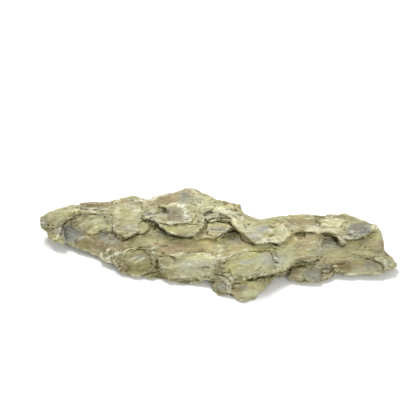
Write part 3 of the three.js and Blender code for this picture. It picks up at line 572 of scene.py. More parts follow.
# ---------------------------------------------------------------- tints
# The clay is olive, with pink-brown, blue-grey, green-grey and yellow patches and cream lime in thin
# rims and flecks. Each patch is a shape on the face, and how strong it is there.
PINKS = [
    ((-126, 4, 4, 3), 0.4), ((-114, 8, 6, 4), 0.8), ((-113, 3, 9, 4), 0.7), ((-112, 6, 8, 3), 0.5),
    ((-111, 1, 8, 4, -6), 0.7), ((-101, 33.6, 13, 2.4, 4), 0.9), ((-101, -6, 6, 3, -20), 0.6),
    ((-92, -1, 16, 5, -6), 0.8), ((-86, 7.5, 3, 2.5), 0.8), ((-82, -15, 7, 4, -20), 0.8),
    ((-80, -19, 5, 4), 0.7), ((-78, 2, 6, 3), 0.8), ((-75, 35.5, 14, 1.8), 0.6), ((-63, -7, 4, 2), 0.5),
    ((-60, 34, 6, 2.4), 0.6), ((-43, 39, 14, 5, 12), 0.9), ((-40, 1, 22, 2.6), 0.6),
    ((-40, 6, 10, 1.6), 0.5), ((-37, -4, 15, 4), 0.9),
    ([(-42.5, 31.5), (-38, 32), (-31, 32), (-29.6, 28), (-29, 24), (-29.6, 18.6), (-36, 18.4), (-42, 18.6),
      (-43.5, 22), (-44, 27)], 0.75),
    ((-34, 37, 3, 2.4), 0.6), ((-32, -24, 6, 2), 0.4), ((-22, 43, 7, 3, -10), 0.7), ((-14, -3, 8, 3), 0.5),
    ((-9, 0, 5, 5), 0.5), ((-8, 5.6, 10, 1.6), 0.5), ((-7, -5, 7, 2.4), 0.4), ((-4, -8.5, 5, 1.6, -20), 0.5),
    ((-3, -31.5, 3, 3), 0.8), ((-2.6, -31, 3, 4), 0.5), ((9, -2, 3, 4), 0.35), ((12, 32, 7, 3), 0.25),
    ((15, -40, 4, 4), 0.5), ((16, -2.4, 4, 2.2), 1), ((18, -34, 4, 3), 0.4), ((22, 2, 5, 4), 0.5),
    ([(15, 12.5), (19, 9.5), (24, 6), (28, 3), (31.5, 0), (28, 0.2), (24, 2.4), (20, 3), (18, 5.5), (16, 9)],
     1),
    ((34, -36, 4, 4), 0.2), ((42, -8, 4, 2.4), 0.4), ((48, 6, 4, 2), 0.5), ((53, 16, 8, 2.4), 0.45),
    ((54, 2, 6, 3, -30), 0.3), ((62, 18, 4, 2.4), 0.6), ((64, -24, 6, 5), 0.6), ((66, 5, 9, 5), 0.5),
    ((66, 12, 8, 5), 0.5), ((68, 20, 10, 3.4), 0.8), ((69, 7.4, 4, 2.6), 0.9), ((70, -11.5, 4, 2.5), 0.8),
    ((72, 8, 8, 5), 0.4), ((72, 1, 8, 5), 0.5), ((78, 18, 7, 2.2, -6), 0.7), ((90, -27, 6, 3), 0.6),
    ((93, -12, 8, 3), 0.45), ((101, 4, 8, 5), 0.45), ((102, -18, 7, 2.6), 0.8), ((105, -12, 8, 2.6), 0.55),
    ((108, -21, 5, 2), 0.6), ((112, -14, 8, 3), 0.4), ((119, -19, 5, 2.5, -20), 0.6),
    ((124, -14, 6, 2.4), 0.5), ((134, -4, 5, 5), 0.6), ((135.6, 0.6, 2.6, 4), 0.8),
]
SLATES = [
    ((-147, 18, 3, 4), 0.5), ((-131, 11, 5, 5), 0.8), (TIP_RECESS, 1), ((-119, 8, 6, 6), 0.6),
    (LITTLE_SCALE, 0.5), ((-89, 3, 6, 5), 0.5), ((-87.6, 13, 1.8, 3.4), 0.7), ((-74, 14, 6, 3), 0.5),
    ((-72, 32, 5, 3), 0.4), ((-66, -9.6, 5, 2.5), 0.5), ((-57.2, 24.4, 5, 3), 0.9),
    ((-46, 8.8, 4, 2, -20), 0.5), ((-45.5, 27, 3, 2.4), 0.9), ((-40.5, 28, 3, 3), 0.7),
    ((-36, 25, 6, 6), 0.3), ((-29, 25, 4, 6), 0.4), ((-27.5, 40, 4.6, 6), 0.55), ((-26.5, 21, 3, 2), 0.5),
    ((-25, 22, 3, 4), 0.5), ((-19, -17, 15, 4.6), 0.4), ((-19, 38, 9, 4, -20), 0.4),
    # The first patch on the next line also darkens the step under the upper plate as painted shade.
    ((-4, 24.4, 8, 2.4, -4), 0.9), ((-3, -14, 3, 3), 0.4), ((0, 12.6, 9, 2.2), 0.85), ((3, -34, 4, 4), 0.8),
    ((5, -28, 5, 3), 0.4), ((11, 27, 10, 3, -20), 0.4), ((13, 3.5, 5, 2), 0.5), ((18, 20, 4, 4), 0.4),
    ((22, -35.6, 4, 1.4), 0.7), ((24, -13.6, 7, 2.6, 8), 0.45), ((27, 13, 11, 5, -20), 0.45),
    ((29, 7.5, 6, 3, -20), 0.6), ((37, 13, 6, 2.4), 0.9), ((46, -13, 11, 6), 0.5),
    ((79, -25, 7, 5, -10), 0.7), ((81, 16.5, 3, 1.6), 0.5), ((85, -5, 6, 3), 0.4), ((90, -20, 4, 3), 0.9),
    ((96, 0, 11, 5), 0.5), ((101, 14, 4, 5), 0.2), ((105.6, 15, 3, 2.6), 0.5), ((112, 6.4, 9, 2.4), 0.45),
    (BLUE_FLAKE, 1), ((124, -20, 12, 2), 0.4), ((128, -17, 5, 3), 0.7), ((139, -17, 2, 3), 0.5),
    ((142, -16, 4, 3, -30), 0.4),
]
GREENS = [
    ((-136, 27, 12, 3, 14), 0.5), ((-125, 3, 5, 1.6, -10), 0.8), ((-124, 29, 8, 2.4, 14), 0.8),
    ((-102, 18, 6, 3), 0.4), ((-98, 2, 4, 2.4), 0.5), ((-97, 20, 7, 6), 0.5), ((-88.5, 15, 1.6, 2.4), 0.7),
    ((-70, -2, 3, 3), 0.6), ((-60, 24, 9, 5), 0.6), ((-50, 24, 6, 3), 0.8), ((-30, -17, 9, 2.5, 3), 1),
    ((-29, 31, 5, 3), 0.8), ((-28, 31.4, 4, 2.4), 1), ((-27, 33, 5, 3), 0.8), ((-26, 25, 3, 6), 0.8),
    ((-24, -12, 14, 3), 0.6), ((-20, -24, 14, 2.5), 0.7), ((-14, 37, 8, 3, -20), 0.5),
    ((-11, 31, 9, 4), 0.6), ((-8, 31, 14, 5, -10), 0.5), ((2, 30, 8, 3, -10), 0.5), ((2, 31.6, 4, 4), 0.8),
    ((3, 28, 5, 4), 0.6), ((4, -36, 6, 4), 0.5), ((20, -6, 8, 2.4), 0.4), ((22, -22, 10, 3, 10), 0.5),
    ((27, -40, 7, 3), 0.9), ((31, -24, 12, 2, 4), 0.7), ((33, 7, 4, 2), 0.5), ((39, -12, 8, 6, 20), 0.9),
    ((51, 11, 6, 4), 0.5), ((54, -17, 6, 4), 0.5), ((55, -9, 8, 9), 0.8), ((70, -26, 8, 3), 0.4),
    ((112, 5.4, 9, 2.4), 0.5), ((120, -23.6, 16, 1.6), 0.6), ((136, -12, 6, 3, -30), 0.9),
]
YELLOWS = [
    ((-143, 14.5, 5, 3), 0.5), ((-134, 4.6, 5, 3.5), 0.9), ((-126, 26, 12, 3, 16), 0.6),
    ((-112, 2, 6, 2.4), 0.8), ((-110, -1, 7, 3, -8), 0.9), ((-103, 14, 7, 5, 10), 0.8),
    ((-82, -14, 5, 3, -20), 0.8), ((-76, 28, 10, 6), 0.35), ((-74, 6, 12, 2.4), 0.6), ((-72, -6, 9, 4), 0.7),
    ((-68, -19, 14, 5, 12), 0.8), ((-57, 18, 7, 8), 0.4), ((-50, -26, 10, 3, 6), 0.8),
    ((-49, 13.4, 5, 2.4), 0.6), ((-48, -24, 8, 2), 0.7), ((-47.5, -20, 3.4, 2.2), 0.9),
    ((-42, 3, 14, 2.4), 0.8), ((-40, 13, 7, 3, -20), 0.7), ((-30, -9.5, 8, 2.4), 0.9),
    ((-20, -8, 19, 2.8), 1), ((-18, 16, 4, 4), 0.6), ((-15, 2, 14, 2.4), 0.7), ((-12, 4.6, 20, 2.6), 0.7),
    ((-12, -10, 9, 2.6), 0.8), ((-6, 17, 9, 3), 0.7), ((0, -30, 5, 3), 0.6), ((4, -10.6, 4, 3), 1),
    ((4, 29.4, 5, 3, -20), 0.7), ((5, -8.4, 8, 2), 0.8), ((5, -39, 8, 3), 0.6),
    ((13.4, -16.6, 7, 5, 20), 0.85), ((15, 9, 6, 5, -40), 0.5), ((15, -7, 7, 2.4, 15), 0.7),
    ((20, 16, 8, 6, -30), 0.6), ((26, -9, 9, 2.5, 10), 0.7), ((27, 16, 5, 3, -20), 0.7),
    ((31, -28.6, 15, 2.6, 12), 1), ((34, -31, 8, 3, 15), 0.6), ((36, -3, 24, 4), 0.9),
    ((42, -26, 8, 3, 12), 1), ((56, 8, 14, 8), 1), ((62, 5, 7, 4), 0.7), ((65, -18, 6, 2), 0.6),
    ((65, 11, 9, 5), 0.7), ((66, 21.6, 9, 2.4), 1), ((72, 22, 10, 1.4), 0.7), ((74, -7, 8, 3), 0.5),
    ((95, 18, 10, 4), 0.45), ((97, 8, 4, 6), 0.6), ((99, 14, 7, 2.6), 1), ((100, -21, 6, 2), 0.6),
    ((100, 3.4, 6, 2.6), 0.9), ((107, 3.4, 8, 2.6), 1), ((108, 1.4, 9, 2.2), 1),
    ((114, -13.4, 12, 2, -6), 0.6), ((126, -4, 4, 5), 0.5), ((130, 6.5, 7, 2.6, -6), 0.9),
    ((132, 11, 3, 4), 0.6), ((144, -18, 4, 3, -20), 0.6),
]
CREAMS = [
    ((-135.5, 12.4, 1.6, 1), 0.7), ((-106, 27.6, 3.4, 1), 1), ((-92, -4.6, 1.6, 1.2, 20), 0.9),
    ((-84, 27, 2, 8), 0.3), ((-68, 28, 4, 2, 30), 0.5), ((-54, 19.8, 5, 0.9, -6), 0.7),
    ((-53, 27.6, 2, 1.2), 0.4), ((-46, -19.4, 2.6, 1.3), 0.6), ((-38, 10, 3, 1.1, -20), 0.7),
    ((-31, 32.6, 3.4, 1.5), 0.85), ((-30, -27, 4, 1.2), 0.6), ((-26, 20.6, 2.4, 0.6), 0.8),
    ((-15, -14, 12, 5), 0.15), ((-8, -9.4, 4, 1.8, -20), 0.7), ((1, -9, 1.8, 1.2), 0.7),
    ((3.6, -10.6, 2.2, 1.3), 0.6), ((5, 28, 6, 1.8, -35), 0.7), ((12, -27.6, 2, 1.6), 0.6),
    ((23, -4, 2.4, 0.8), 0.5), ((38, 4.4, 3, 1.6), 0.7), ((44, 11.5, 2.4, 2), 0.5), ((45, 4, 3, 2), 0.5),
    ((48, 3, 3.4, 1), 0.7), ((48, -10.6, 1.8, 1.2), 0.8), ((52, 9, 5, 5), 0.25), ((62, 14, 5, 2), 0.35),
    ((75.5, -4, 1.8, 0.6), 0.8), ((79, 13.4, 6, 3), 0.45), ((83, -17.6, 1.6, 2), 0.35),
    ((91, 12.6, 7, 1.4, -4), 0.45), ((95, 18, 10, 4), 0.15), ((111, 11, 2.2, 0.6), 0.6),
    ((131.5, 14.5, 3.4, 3), 0.6), ((139.6, -16, 1.4, 3.4, 10), 0.5),
]
# Rims and threads of lime: a line through places on the face, and its half width.
CREAM_LINES = [
    ([(-132, 14), (-132.4, 11), (-134, 8), (-136, 5)], 0.8), ([(-118, 3.4), (-113, 6), (-109, 7)], 0.35),
    ([(-113, 30.2), (-92, 30)], 0.6), ([(-98.4, -7.4), (-97.4, -11), (-94, -13.8), (-90, -14.6)], 0.7),
    ([(-95, -13), (-92.4, -11.4), (-89.4, -9.6), (-85.6, -8.2), (-81, -5.6)], 0.9),
    ([(-67, -10.4), (-74, -12.4)], 0.6), ([(-62, -10.8), (-69.6, -15)], 0.6),
    ([(-70, 36.6), (-60, 36.4)], 0.6), ([(-54.6, -5.6), (-53.4, -8)], 0.7),
    ([(-54.5, -3.6), (-52.6, -2.4), (-51.4, -1.8)], 0.9),
    ([(-58, 36.6), (-52, 39), (-46, 42), (-42, 43.2)], 0.7), ([(-49, 18.6), (-40, 18.8), (-32, 18.6)], 0.4),
    ([(-40, 33.4), (-34, 34), (-29.4, 33.2), (-28.2, 30)], 0.8), ([(-28.2, 30), (-27.6, 25)], 0.5),
    ([(-28.4, 24.4), (-24.6, 23.8)], 0.6), ([(-28, 27.4), (-23.6, 28.4)], 0.6),
    ([(-27.6, 21.6), (-22.4, 21)], 0.6),
    ([(-37, -8.4), (-33, -7.6), (-28, -6.8), (-20, -6.8), (-12, -7.2), (-8, -8.2), (-3, -10.4), (0, -11.4)],
     0.8),
    ([(4, -11.6), (8, -9.8), (12, -8.4)], 0.6), ([(8.2, -30.6), (7.4, -35), (8.6, -39)], 0.45),
    ([(8.6, -31), (10.4, -35.6), (9.2, -39.4)], 0.45), ([(10, 24), (14, 20), (17, 16)], 0.8),
    ([(20, 17), (20, 23)], 0.6), ([(26, -26.6), (32, -25.2), (40, -24.4)], 0.6),
    ([(32, 2.4), (38, 2.6), (48, 2.2)], 0.7), ([(50, 15), (54.6, 11), (55.6, 7), (53, 3.4)], 0.7),
    ([(52, 16.4), (57.4, 12), (58.2, 7)], 0.6), ([(72, 21.8), (78, 21.8)], 0.4),
    ([(87, 17.2), (96, 15.4)], 0.5), ([(88, 20.4), (101, 17.8)], 0.5), ([(90, 22.6), (104, 20.2)], 0.5),
    ([(103, 17.6), (98, 13.6)], 0.5), ([(100, 7), (102.4, 4.4), (105, 3)], 0.8),
    ([(104, 7.2), (111, 7), (118, 7.4)], 0.35), ([(108, 5.4), (117, 5.8)], 0.35),
    ([(112, 8.6), (119, 8), (125, 9.6)], 0.5),
]
# Painted light and painted shade, and clay that is paler or darker: where the face is lighter than
# the rest, or darker where the number is below 0, whatever its tint. Painted light lifts shade in
# hollows, and painted shade stands in for the shadow under lips and along undersides.
LIGHT_SHADE_AND_TONES = [
    # left tip
    ((-143, 14, 6, 3), -0.5), ((-130.9, 8, 1.3, 4.4), -1.3), ((-126, 9, 5, 7), -0.3),
    ((-125, 28, 10, 3, 16), 0.5), ((-125, 9, 3, 6), 0.3), ((-124.6, 22.4, 8, 2, 32), -0.9),
    ((-122, 31, 12, 1.6, 12), -0.4), ((-116, 20, 4, 3), -0.3), ((-114, 3, 5, 3), -0.3),
    # left scales
    ((-110, -1, 8, 3), -0.5), ((-107, 33, 16, 2.6, 4), -0.8), ((-106, 26, 4, 2.4), 0.5),
    ((-106, 8.6, 6, 3), 0.8), ((-105, 8.6, 8, 2), 0.8), ((-105, -1, 12, 4), -0.3),
    ((-94, -3, 8, 5, -20), -0.5), ((-93, -6.6, 8, 2.6, -24), -0.4), ((-93, 34, 9, 2), -0.8),
    ((-92, -8, 5, 2.4), -0.7), ((-89, 13, 3, 3), 0.7), ((-85, 7, 4, 2, -25), -0.7), ((-80, -19, 6, 5), -1.2),
    ((-76, 27, 12, 9), 0.2), ((-74, -15, 6, 4), 0.6), ((-70, 0, 7, 3), 0.8), ((-70, -1, 10, 3), 0.4),
    ((-68, -20, 13, 5), -0.7), ((-68, -3, 8, 2.4, -10), 0.6), ((-66, -3, 3, 2), 0.5),
    # left of the middle
    ((-63, 25, 2.5, 5), 0.6), ((-60, 24, 8, 5), -0.8), ((-59, -10, 4, 5), -0.4), ((-58, 3, 16, 6), 0.5),
    ((-58, 12, 5, 5), 0.2), ((-55, 14, 6, 5), -0.4), ((-54.6, 16.8, 5.4, 2, -32), -0.8),
    ((-53, 13.4, 3.4, 2.4, -20), -1.3), ((-53, -14, 4, 8, 15), -0.7), ((-50, -26, 10, 4), -1),
    ((-50, -20, 5, 3), -1.3), ((-50, 30, 4, 4), -0.4), ((-50, 1.4, 3, 2), -0.6),
    ((-49, 31.4, 3, 1.2, -20), -0.6), ((-47, 10.4, 5, 2.4, -35), -0.8), ((-46, 11, 4, 1.6, -35), -0.8),
    ((-45.5, 28.4, 4, 2.6, -20), -0.9), ((-45, 7, 5, 2), -0.6), ((-44, 32, 3, 1.4), 0.4),
    ((-42, 33, 6, 1.6), 0.6), ((-40.6, 24, 1.4, 6), -0.4), ((-40, -22, 6, 3), 0.6),
    ((-38, -19, 5, 3.4), 0.4), ((-38, 41, 16, 6, 10), -0.35), ((-36.6, 26, 2.4, 4.4), -0.5),
    ((-36.5, -12.5, 1.6, 3.6, 10), -0.9), ([(-43, 31), (-30, 31.5), (-29.4, 19), (-42.5, 19)], -0.2),
    ((-36, -4, 15, 5), 0.3), ((-36, 8.2, 14, 1.8, -4), -0.6), ((-35, -5.6, 7, 2), -0.6),
    ((-33, 12, 14, 5), 0.1), ((-33, 14.6, 12, 2), 0.3), ((-32.6, 25, 1.5, 6), -0.4),
    ((-29, -17, 10, 5), 0.5), ((-29, -31.6, 6, 1.3), -1), ((-28, 17, 6, 2), 0.4), ((-26, 28.4, 3, 3), -0.4),
    ((-25, 28, 3, 3), -0.4), ((-20, 23, 3, 4), 0.7), ((-20, 3.6, 5, 2), 0.4), ((-18, 38, 8, 5, -30), 0.5),
    ((-15, -14, 13, 6), 0.9), ((-15, 15, 3, 5, 20), -0.4), ((-15, 11.5, 4.4, 2.4, 45), 0.6),
    # middle
    ((-14, -2, 15, 5), 0.85), ((-13, 12.4, 3, 3), 0.6), ((-12, 33, 10, 5, -10), 0.3),
    ((-11, 25.6, 4, 3), -0.1), ((-11, -31.6, 5, 1.6), -1), ((-10, 36, 8, 5), 0.4),
    ((-9.6, 16, 1.6, 3), -0.7), ((-9, 28, 4, 2), 0.4), ((-8, 4.5, 18, 3), 0.6), ((-8, 4, 8, 2), 0.4),
    ((-5, 25, 6, 2), -0.5), ((-3, -5, 9, 5), -0.2),
    ([(-12, 26.4), (-6, 26), (0, 26.2), (5, 24), (9, 22.4), (0, 22), (-8, 21), (-11, 22)], -1.5),
    ((-2, 23.4, 7, 1.6, -6), -0.5), ((0, 1.5, 9, 3), 0.6), ((0, 16, 10, 2), 0.5), ((0, 13, 8, 2), 0.9),
    ((0, -30, 7, 3), -0.3), ((1, 13, 10, 5), 0.5),
    ([(0, -12), (3, -13), (6, -16.5), (7.5, -22), (4, -25.5), (-3.5, -24.5), (-3, -20), (0, -17)], -0.8),
    ((2.4, -17.6, 6, 1.8, -67), -0.7), ((3, -35, 8, 7), -0.5), ((4, 2, 5, 2.4), 0.7),
    ((6, 28, 12, 5, -25), 0.8), ((6, -23, 6, 3), 0.7), ((7, 26.6, 5, 2, -20), 0.4), ((8, -21.4, 3, 4), 0.9),
    ((8, -25, 6, 3), 0.5), ((8, 8, 6, 3, -30), -0.8), ((9, -11, 8, 3), -0.5), ((11, 16, 3, 4), 0.4),
    ((11.6, 13.4, 2.2, 3), 1), ((12, -33, 5, 2.4), -0.4), ((12.6, 31, 5, 3), 1.1),
    ((14, 9, 6, 2, -20), -0.5), ((18, -37, 14, 6, 10), 0.35), ((18, -35, 8, 5), -0.8),
    ((18, -27, 3, 2), 0.5), ((18.4, 5.2, 2.6, 2.6, -40), -0.9), ((20, 17, 9, 6, -30), 0.4),
    ((20, -7, 6, 2, 20), -0.4), ((20, -30, 11, 3, 10), 0.4),
    # right of the middle
    ((24, -13, 7, 3, 8), 0.4), ((24, -24, 12, 4, 8), -0.3), ((26, 14, 14, 8, -20), 0.6),
    ((26, -41, 6, 3), 0.4), ((28, -38, 8, 5, 10), 0.7), ((28, -35, 4, 3), 0.7), ((30, -35, 5, 3), 0.4),
    ((30, 16.6, 5, 2.4, -20), 0.4), ((32, -5, 6, 3), 0.4), ((32, -4, 5, 2.4), 0.4), ((36, -3, 20, 4), 0.4),
    ((36, 4, 5, 2), -0.3), ((39, -27.4, 8, 2.4, 12), -1.3), ((40, -13, 9, 7, 15), 0.1),
    ((41, -19, 7, 3), 0.4), ((42, 14, 4, 3), 0.3), ((45, 4, 5, 3), 0.4), ((46, 18, 7, 2.4), 0.4),
    ((48, -11, 3, 2), -0.3), ((50, 16, 7, 4), 0.5), ((52, 13, 4, 3), -0.3), ((52, -24, 7, 2.2, 20), -1),
    ((55, -9, 8, 9), 0.85), ((57, -18.6, 3, 2), 0.5), ((58, -20, 4, 3), 0.6), ((60, 5.4, 4, 4), 0.8),
    ((61, -19, 4, 2), 0.5), ((62, -22, 4, 4), -0.5), ((64, -25, 8, 6), -1), ((66, -23.6, 8, 2.6), 0.4),
    ((66, 10, 8, 2), 0.5), ((67, 7.6, 5, 2.4), -0.4), ((68, -8, 6, 4), 0.3), ((68, -15.6, 8, 2), -0.9),
    ((69, 7.6, 3.6, 2.4), -0.9), ((70, 4, 10, 5), 0.6), ((70, -14, 6, 2.4), -0.7),
    ((71, 19.6, 12, 2.4), -0.4), ((74, 3, 6, 2.4), -0.3),
    # right scales
    ((76, -18, 5, 2), -0.6), ((76, -19.6, 5, 1.6), -0.5), ((76, 11, 8, 1.6), 0.5), ((76, 4, 5, 2), -0.3),
    ((76, 9, 14, 3), 0.4), ((78, -25, 7, 6), -0.4), ((79, -5, 4, 2), -0.3), ((80, 13, 8, 3), 0.3),
    ((83, 22.8, 3, 1.6), -0.9), ((84, 8, 6, 2), 0.6), ((90, -20, 6, 4), -1.1), ((90, 14.6, 5, 2), -0.3),
    ((91, -26.4, 5, 2), -0.4), ((91, 2.6, 4, 1.4, -20), 0.4), ((93, 7, 6, 2, -25), -0.8),
    ((95, -4, 12, 7), 0.4), ((95, 18, 11, 4), 0.45), ((95, 18, 10, 4), 0.2), ((96, 23.4, 12, 2), -0.9),
    ((103, -18, 9, 4), -1.4), ((103, 5, 3, 2), -0.4), ((104, -6, 16, 6), 0.1),
    # right end
    ((112, -24.6, 12, 1.6), -0.5), ((113, -2.4, 9, 2, 10), 0.5), ((115, -5, 12, 3, 8), 0.3),
    ((118, 14, 10, 6), -0.75), ((120, -11.5, 10, 1.6, -14), -0.4), ((126, -9.8, 5, 2, -10), 0.9),
    ((128, -17, 7, 4, -10), -0.4), ((130, 6, 6, 2.4), 0.15), ((131, 14, 5, 4), 0.9), ((131, 10, 3, 3), 0.5),
    ((135, -23, 6, 1.6, 10), -0.4), ((135, -16, 5, 3, -20), -0.4), ((143, -14, 4, 3, -30), 0.4),
]
# Each tint's patches on the face, and then its loose ones where the face turns away: the size of
# their lumps, a seed, where in the noise they start and are full, and how strong they are.
TINTS = {
    "pink": (PINKS, (34, 16, 16), 11, 0.1, 0.35, 0.7),
    "slate": (SLATES, (28, 13, 13), 12, 0.12, 0.35, 0.6),
    "green": (GREENS, (30, 12, 12), 17, 0.1, 0.4, 0.7),
    "yellow": (YELLOWS, (30, 14, 14), 13, 0.05, 0.35, 0.7),
    "cream": (CREAMS, (14, 4, 4), 14, 0.3, 0.5, 0.45),
}
lie = lie_of(rest)
wander = wandering(lie)
seen = ramp(outward @ FACE_OUT, -0.1, 0.35)


def blurred(shape, edge, share):
    """A patch whose soft edge is this wide, or for an oval this share of its lesser half."""
    return patch(shape, edge if isinstance(shape[0], tuple) else share * min(shape[2:4]))


def tinted(patches, everywhere):
    """How strong a tint is at each corner: its patches on the face, and loose ones elsewhere."""
    tint = np.zeros(corners)
    for shape, strength in patches:
        tint = np.maximum(tint, strength * blurred(shape, 1.6, 0.9))
    return tint * seen + everywhere * (1 - seen)


looks = {
    name: tinted(patches, most * ramp(swell(lie, size, seed), start, full))
    for name, (patches, size, seed, start, full, most) in TINTS.items()
}
for points, width in CREAM_LINES:
    rim = 0.9 * faded(from_line(points) / width) * seen
    looks["cream"] = np.maximum(looks["cream"], rim)
# Painted light and painted shade, with paler and darker clay; on the back a loose tone at random.
tone = np.zeros(corners)
for shape, strength in LIGHT_SHADE_AND_TONES:
    tone += strength * blurred(shape, 3, 1.2)
tone = np.clip(tone, -1, 1) * seen + 0.5 * swell(lie, (36, 16, 16), 15, 2) * (1 - seen)
looks["lit_and_paler"] = np.clip(tone, 0, 1)
looks["shaded_and_darker"] = np.clip(-tone, 0, 1)
looks["worn"] = np.clip(worn, 0, 1)
looks["dirt_and_shade"] = np.clip(dirt_and_shade, 0, 1)
looks["streak"] = np.clip(0.5 + (0.25 + 0.75 * rough) * (0.7 * lines + 0.35 * strata), 0, 1)
for name, values in looks.items():
    kept_look = rock.data.attributes.new(name, "FLOAT", "POINT")
    kept_look.data.foreach_set("value", values.astype(np.float32))
kept_grain = rock.data.attributes.new("grain", "FLOAT_VECTOR", "POINT")
kept_grain.data.foreach_set("vector", (with_grain(lie) / 1000).astype(np.float32).ravel())

# ---------------------------------------------------------------- clay stone
# Dry matt clay: an olive ground broken up along the grain, with the tints over it, painted light and
# shade laid on together with paler and darker clay, thin lines where the beds come out, pale worn
# crests with a painted highlight, crevices darkened with dirt and painted shade, and a fine tooth.
DEEP_OLIVE, PALE_OLIVE = (0.249, 0.233, 0.114), (0.356, 0.339, 0.182)
TAN, MOSS_GREY = (0.355, 0.278, 0.150), (0.355, 0.385, 0.250)
YELLOW, GREEN = (0.365, 0.352, 0.118), (0.43, 0.465, 0.305)
PINK_BROWN, SLATE = (0.375, 0.280, 0.162), (0.232, 0.256, 0.282)
# Painted light and painted shade, with paler and darker clay.
PALER_AND_LIT, DARKER_AND_SHADED = (1.5, 1.48, 1.40), (0.505, 0.475, 0.375)  # these two multiply what is below them
GRAIN_DARK, GRAIN_PALE = (0.148, 0.130, 0.060), (0.64, 0.61, 0.40)
LAYER_DARK, LAYER_PALE = (0.134, 0.115, 0.047), (0.62, 0.59, 0.40)
STREAK_DARK, STREAK_PALE = (0.134, 0.115, 0.052), (0.68, 0.65, 0.43)
# The pale of worn crests, partly a painted highlight, and the cream of lime.
WORN_AND_HIGHLIT_PALE, LIME = (0.71, 0.69, 0.47), (0.825, 0.815, 0.66)
FLECK_DARK, FLECK_PALE = (0.115, 0.10, 0.042), (0.78, 0.75, 0.57)
PORE, GRIT_DARK, GRIT_PALE = (0.10, 0.09, 0.045), (0.12, 0.11, 0.06), (0.66, 0.63, 0.44)
# The colour of dark clay and painted shade in crevices, cracks and pits.
CREVICE_DIRT_AND_SHADE = (0.060, 0.045, 0.003)
clay = bpy.data.materials.new("clay_stone")
clay.use_nodes = True
tree = clay.node_tree
surface = tree.nodes["Principled BSDF"]
surface.inputs["Specular IOR Level"].default_value = 0.35


def plug(socket, value):
    """Feeds a socket from another node, or sets it to a number or a colour."""
    if isinstance(value, bpy.types.NodeSocket):
        tree.links.new(value, socket)
    else:
        socket.default_value = (*value, 1) if isinstance(value, tuple) else value


def node(kind, settings=None, **inputs):
    """Adds a shader node, with its settings and with what goes into its sockets."""
    made = tree.nodes.new(kind)
    for key, value in (settings or {}).items():
        setattr(made, key, value)
    for key, value in inputs.items():
        plug(made.inputs[key.replace("_", " ")], value)
    return made


def amount(name):
    """A tint's strength at each corner, and likewise of wear, streaks, dirt, painted light and painted
    shade.
    """
    return node("ShaderNodeAttribute", {"attribute_name": name}).outputs["Fac"]


def curve(value, low, high, to_low=0.0, to_high=1.0):
    """Maps low..high to to_low..to_high and holds it there."""
    return node(
        "ShaderNodeMapRange", {"interpolation_type": "SMOOTHSTEP"},
        Value=value, From_Min=low, From_Max=high, To_Min=to_low, To_Max=to_high,
    ).outputs["Result"]


def times(a, b):
    made = node("ShaderNodeMath", {"operation": "MULTIPLY"})
    plug(made.inputs[0], a)
    plug(made.inputs[1], b)
    return made.outputs[0]


def over(below, above, share, blend="MIX"):
    """One colour laid over another, as strongly as share says."""
    made = node("ShaderNodeMix", {"data_type": "RGBA", "blend_type": blend})
    for index, value in ((0, share), (6, below), (7, above)):
        plug(made.inputs[index], value)
    return made.outputs[2]


along_grain = node("ShaderNodeAttribute", {"attribute_name": "grain"}).outputs["Vector"]


def texture(stretch, detail=4.0, roughness=0.6, distortion=0.0):
    """Noise in lumps of about this size in metres along, across and out of the grain."""
    sized = node("ShaderNodeMapping", Vector=along_grain)
    sized.inputs["Scale"].default_value = [1 / s for s in stretch]
    return node(
        "ShaderNodeTexNoise", Vector=sized.outputs["Vector"], Scale=1.0,
        Detail=detail, Roughness=roughness, Distortion=distortion,
    ).outputs["Fac"]


patchy = texture((0.030, 0.010, 0.010), 5, 0.6, 0.4)
blotchy = texture((0.013, 0.0035, 0.0035), 4, 0.6, 0.8)
grainy = texture((0.011, 0.0019, 0.0019), 5, 0.65, 1.0)
speckle = texture((0.0022, 0.0012, 0.0012), 3, 0.6)
flecks = texture((0.0028, 0.0013, 0.0013), 2, 0.5)
laminae = texture((0.010, 0.0009, 0.0009), 5, 0.7, 1.2)
pores = texture((0.0020, 0.0012, 0.0012), 5, 0.7, 0.6)
fine = texture((0.0010, 0.0008, 0.0008), 4, 0.7)

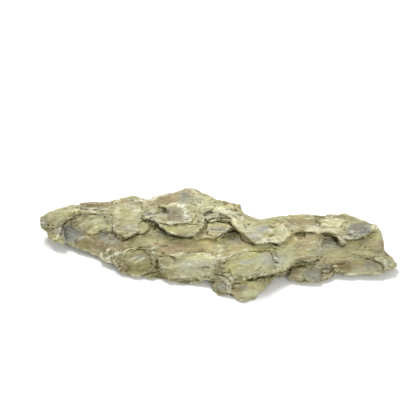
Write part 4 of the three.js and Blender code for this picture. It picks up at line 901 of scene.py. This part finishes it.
colour = over(DEEP_OLIVE, PALE_OLIVE, curve(patchy, 0.35, 0.65))
colour = over(colour, TAN, curve(blotchy, 0.52, 0.66, 0, 0.6))
colour = over(colour, MOSS_GREY, curve(blotchy, 0.46, 0.34, 0, 0.6))
colour = over(colour, YELLOW, times(amount("yellow"), curve(blotchy, 0.3, 0.6, 0.35, 0.75)))
colour = over(colour, GREEN, times(amount("green"), curve(blotchy, 0.7, 0.3, 0.4, 0.85)))
colour = over(colour, PINK_BROWN, times(amount("pink"), curve(blotchy, 0.3, 0.6, 0.45, 0.95)))
colour = over(colour, SLATE, times(amount("slate"), curve(blotchy, 0.65, 0.35, 0.5, 0.95)))
# Painted light and painted shade, and paler and darker clay.
colour = over(colour, PALER_AND_LIT, amount("lit_and_paler"), "MULTIPLY")
colour = over(colour, DARKER_AND_SHADED, amount("shaded_and_darker"), "MULTIPLY")
colour = over(colour, GRAIN_DARK, curve(grainy, 0.53, 0.68, 0, 0.50))
colour = over(colour, GRAIN_PALE, curve(grainy, 0.46, 0.33, 0, 0.42))
colour = over(colour, LAYER_DARK, curve(laminae, 0.54, 0.70, 0, 0.45))
colour = over(colour, LAYER_PALE, curve(laminae, 0.46, 0.32, 0, 0.35))
colour = over(colour, STREAK_DARK, curve(amount("streak"), 0.40, 0.08, 0, 0.55))
colour = over(colour, STREAK_PALE, curve(amount("streak"), 0.62, 0.95, 0, 0.45))
# Pale worn crests, partly a painted highlight.
colour = over(colour, WORN_AND_HIGHLIT_PALE, times(amount("worn"), curve(speckle, 0.3, 0.65, 0.1, 0.6)))
colour = over(colour, LIME, times(amount("cream"), curve(speckle, 0.38, 0.60, 0.30, 1)))
colour = over(colour, FLECK_DARK, curve(flecks, 0.60, 0.72, 0, 0.35))
colour = over(colour, FLECK_PALE, curve(flecks, 0.39, 0.28, 0, 0.35))
colour = over(colour, PORE, curve(pores, 0.61, 0.72, 0, 0.45))
colour = over(colour, GRIT_DARK, curve(fine, 0.42, 0.26, 0, 0.4))
colour = over(colour, GRIT_PALE, curve(fine, 0.58, 0.74, 0, 0.4))
# Crevices, cracks and pits darkened with dirt and painted shade.
colour = over(colour, CREVICE_DIRT_AND_SHADE, curve(amount("dirt_and_shade"), 0.25, 0.95, 0, 0.92))
tree.links.new(colour, surface.inputs["Base Color"])
# Blue-grey patches are worn a little smoother than the rest.
tree.links.new(curve(times(amount("slate"), grainy), 0.0, 0.5, 0.86, 0.62), surface.inputs["Roughness"])

tooth = node("ShaderNodeBump", Height=fine, Strength=0.6, Distance=0.0005)
layer_lines = node("ShaderNodeBump", Height=laminae, Strength=0.5, Distance=0.0005)
grain_lines = node("ShaderNodeBump", Height=grainy, Strength=0.5, Distance=0.0008)
tree.links.new(tooth.outputs["Normal"], layer_lines.inputs["Normal"])
tree.links.new(layer_lines.outputs["Normal"], grain_lines.inputs["Normal"])
tree.links.new(grain_lines.outputs["Normal"], surface.inputs["Normal"])
rock.data.materials.append(clay)
bpy.ops.object.select_all(action="DESELECT")
rock.select_set(True)
bpy.context.view_layer.objects.active = rock
bpy.ops.object.shade_smooth()

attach(rock, "root")
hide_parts("stone")
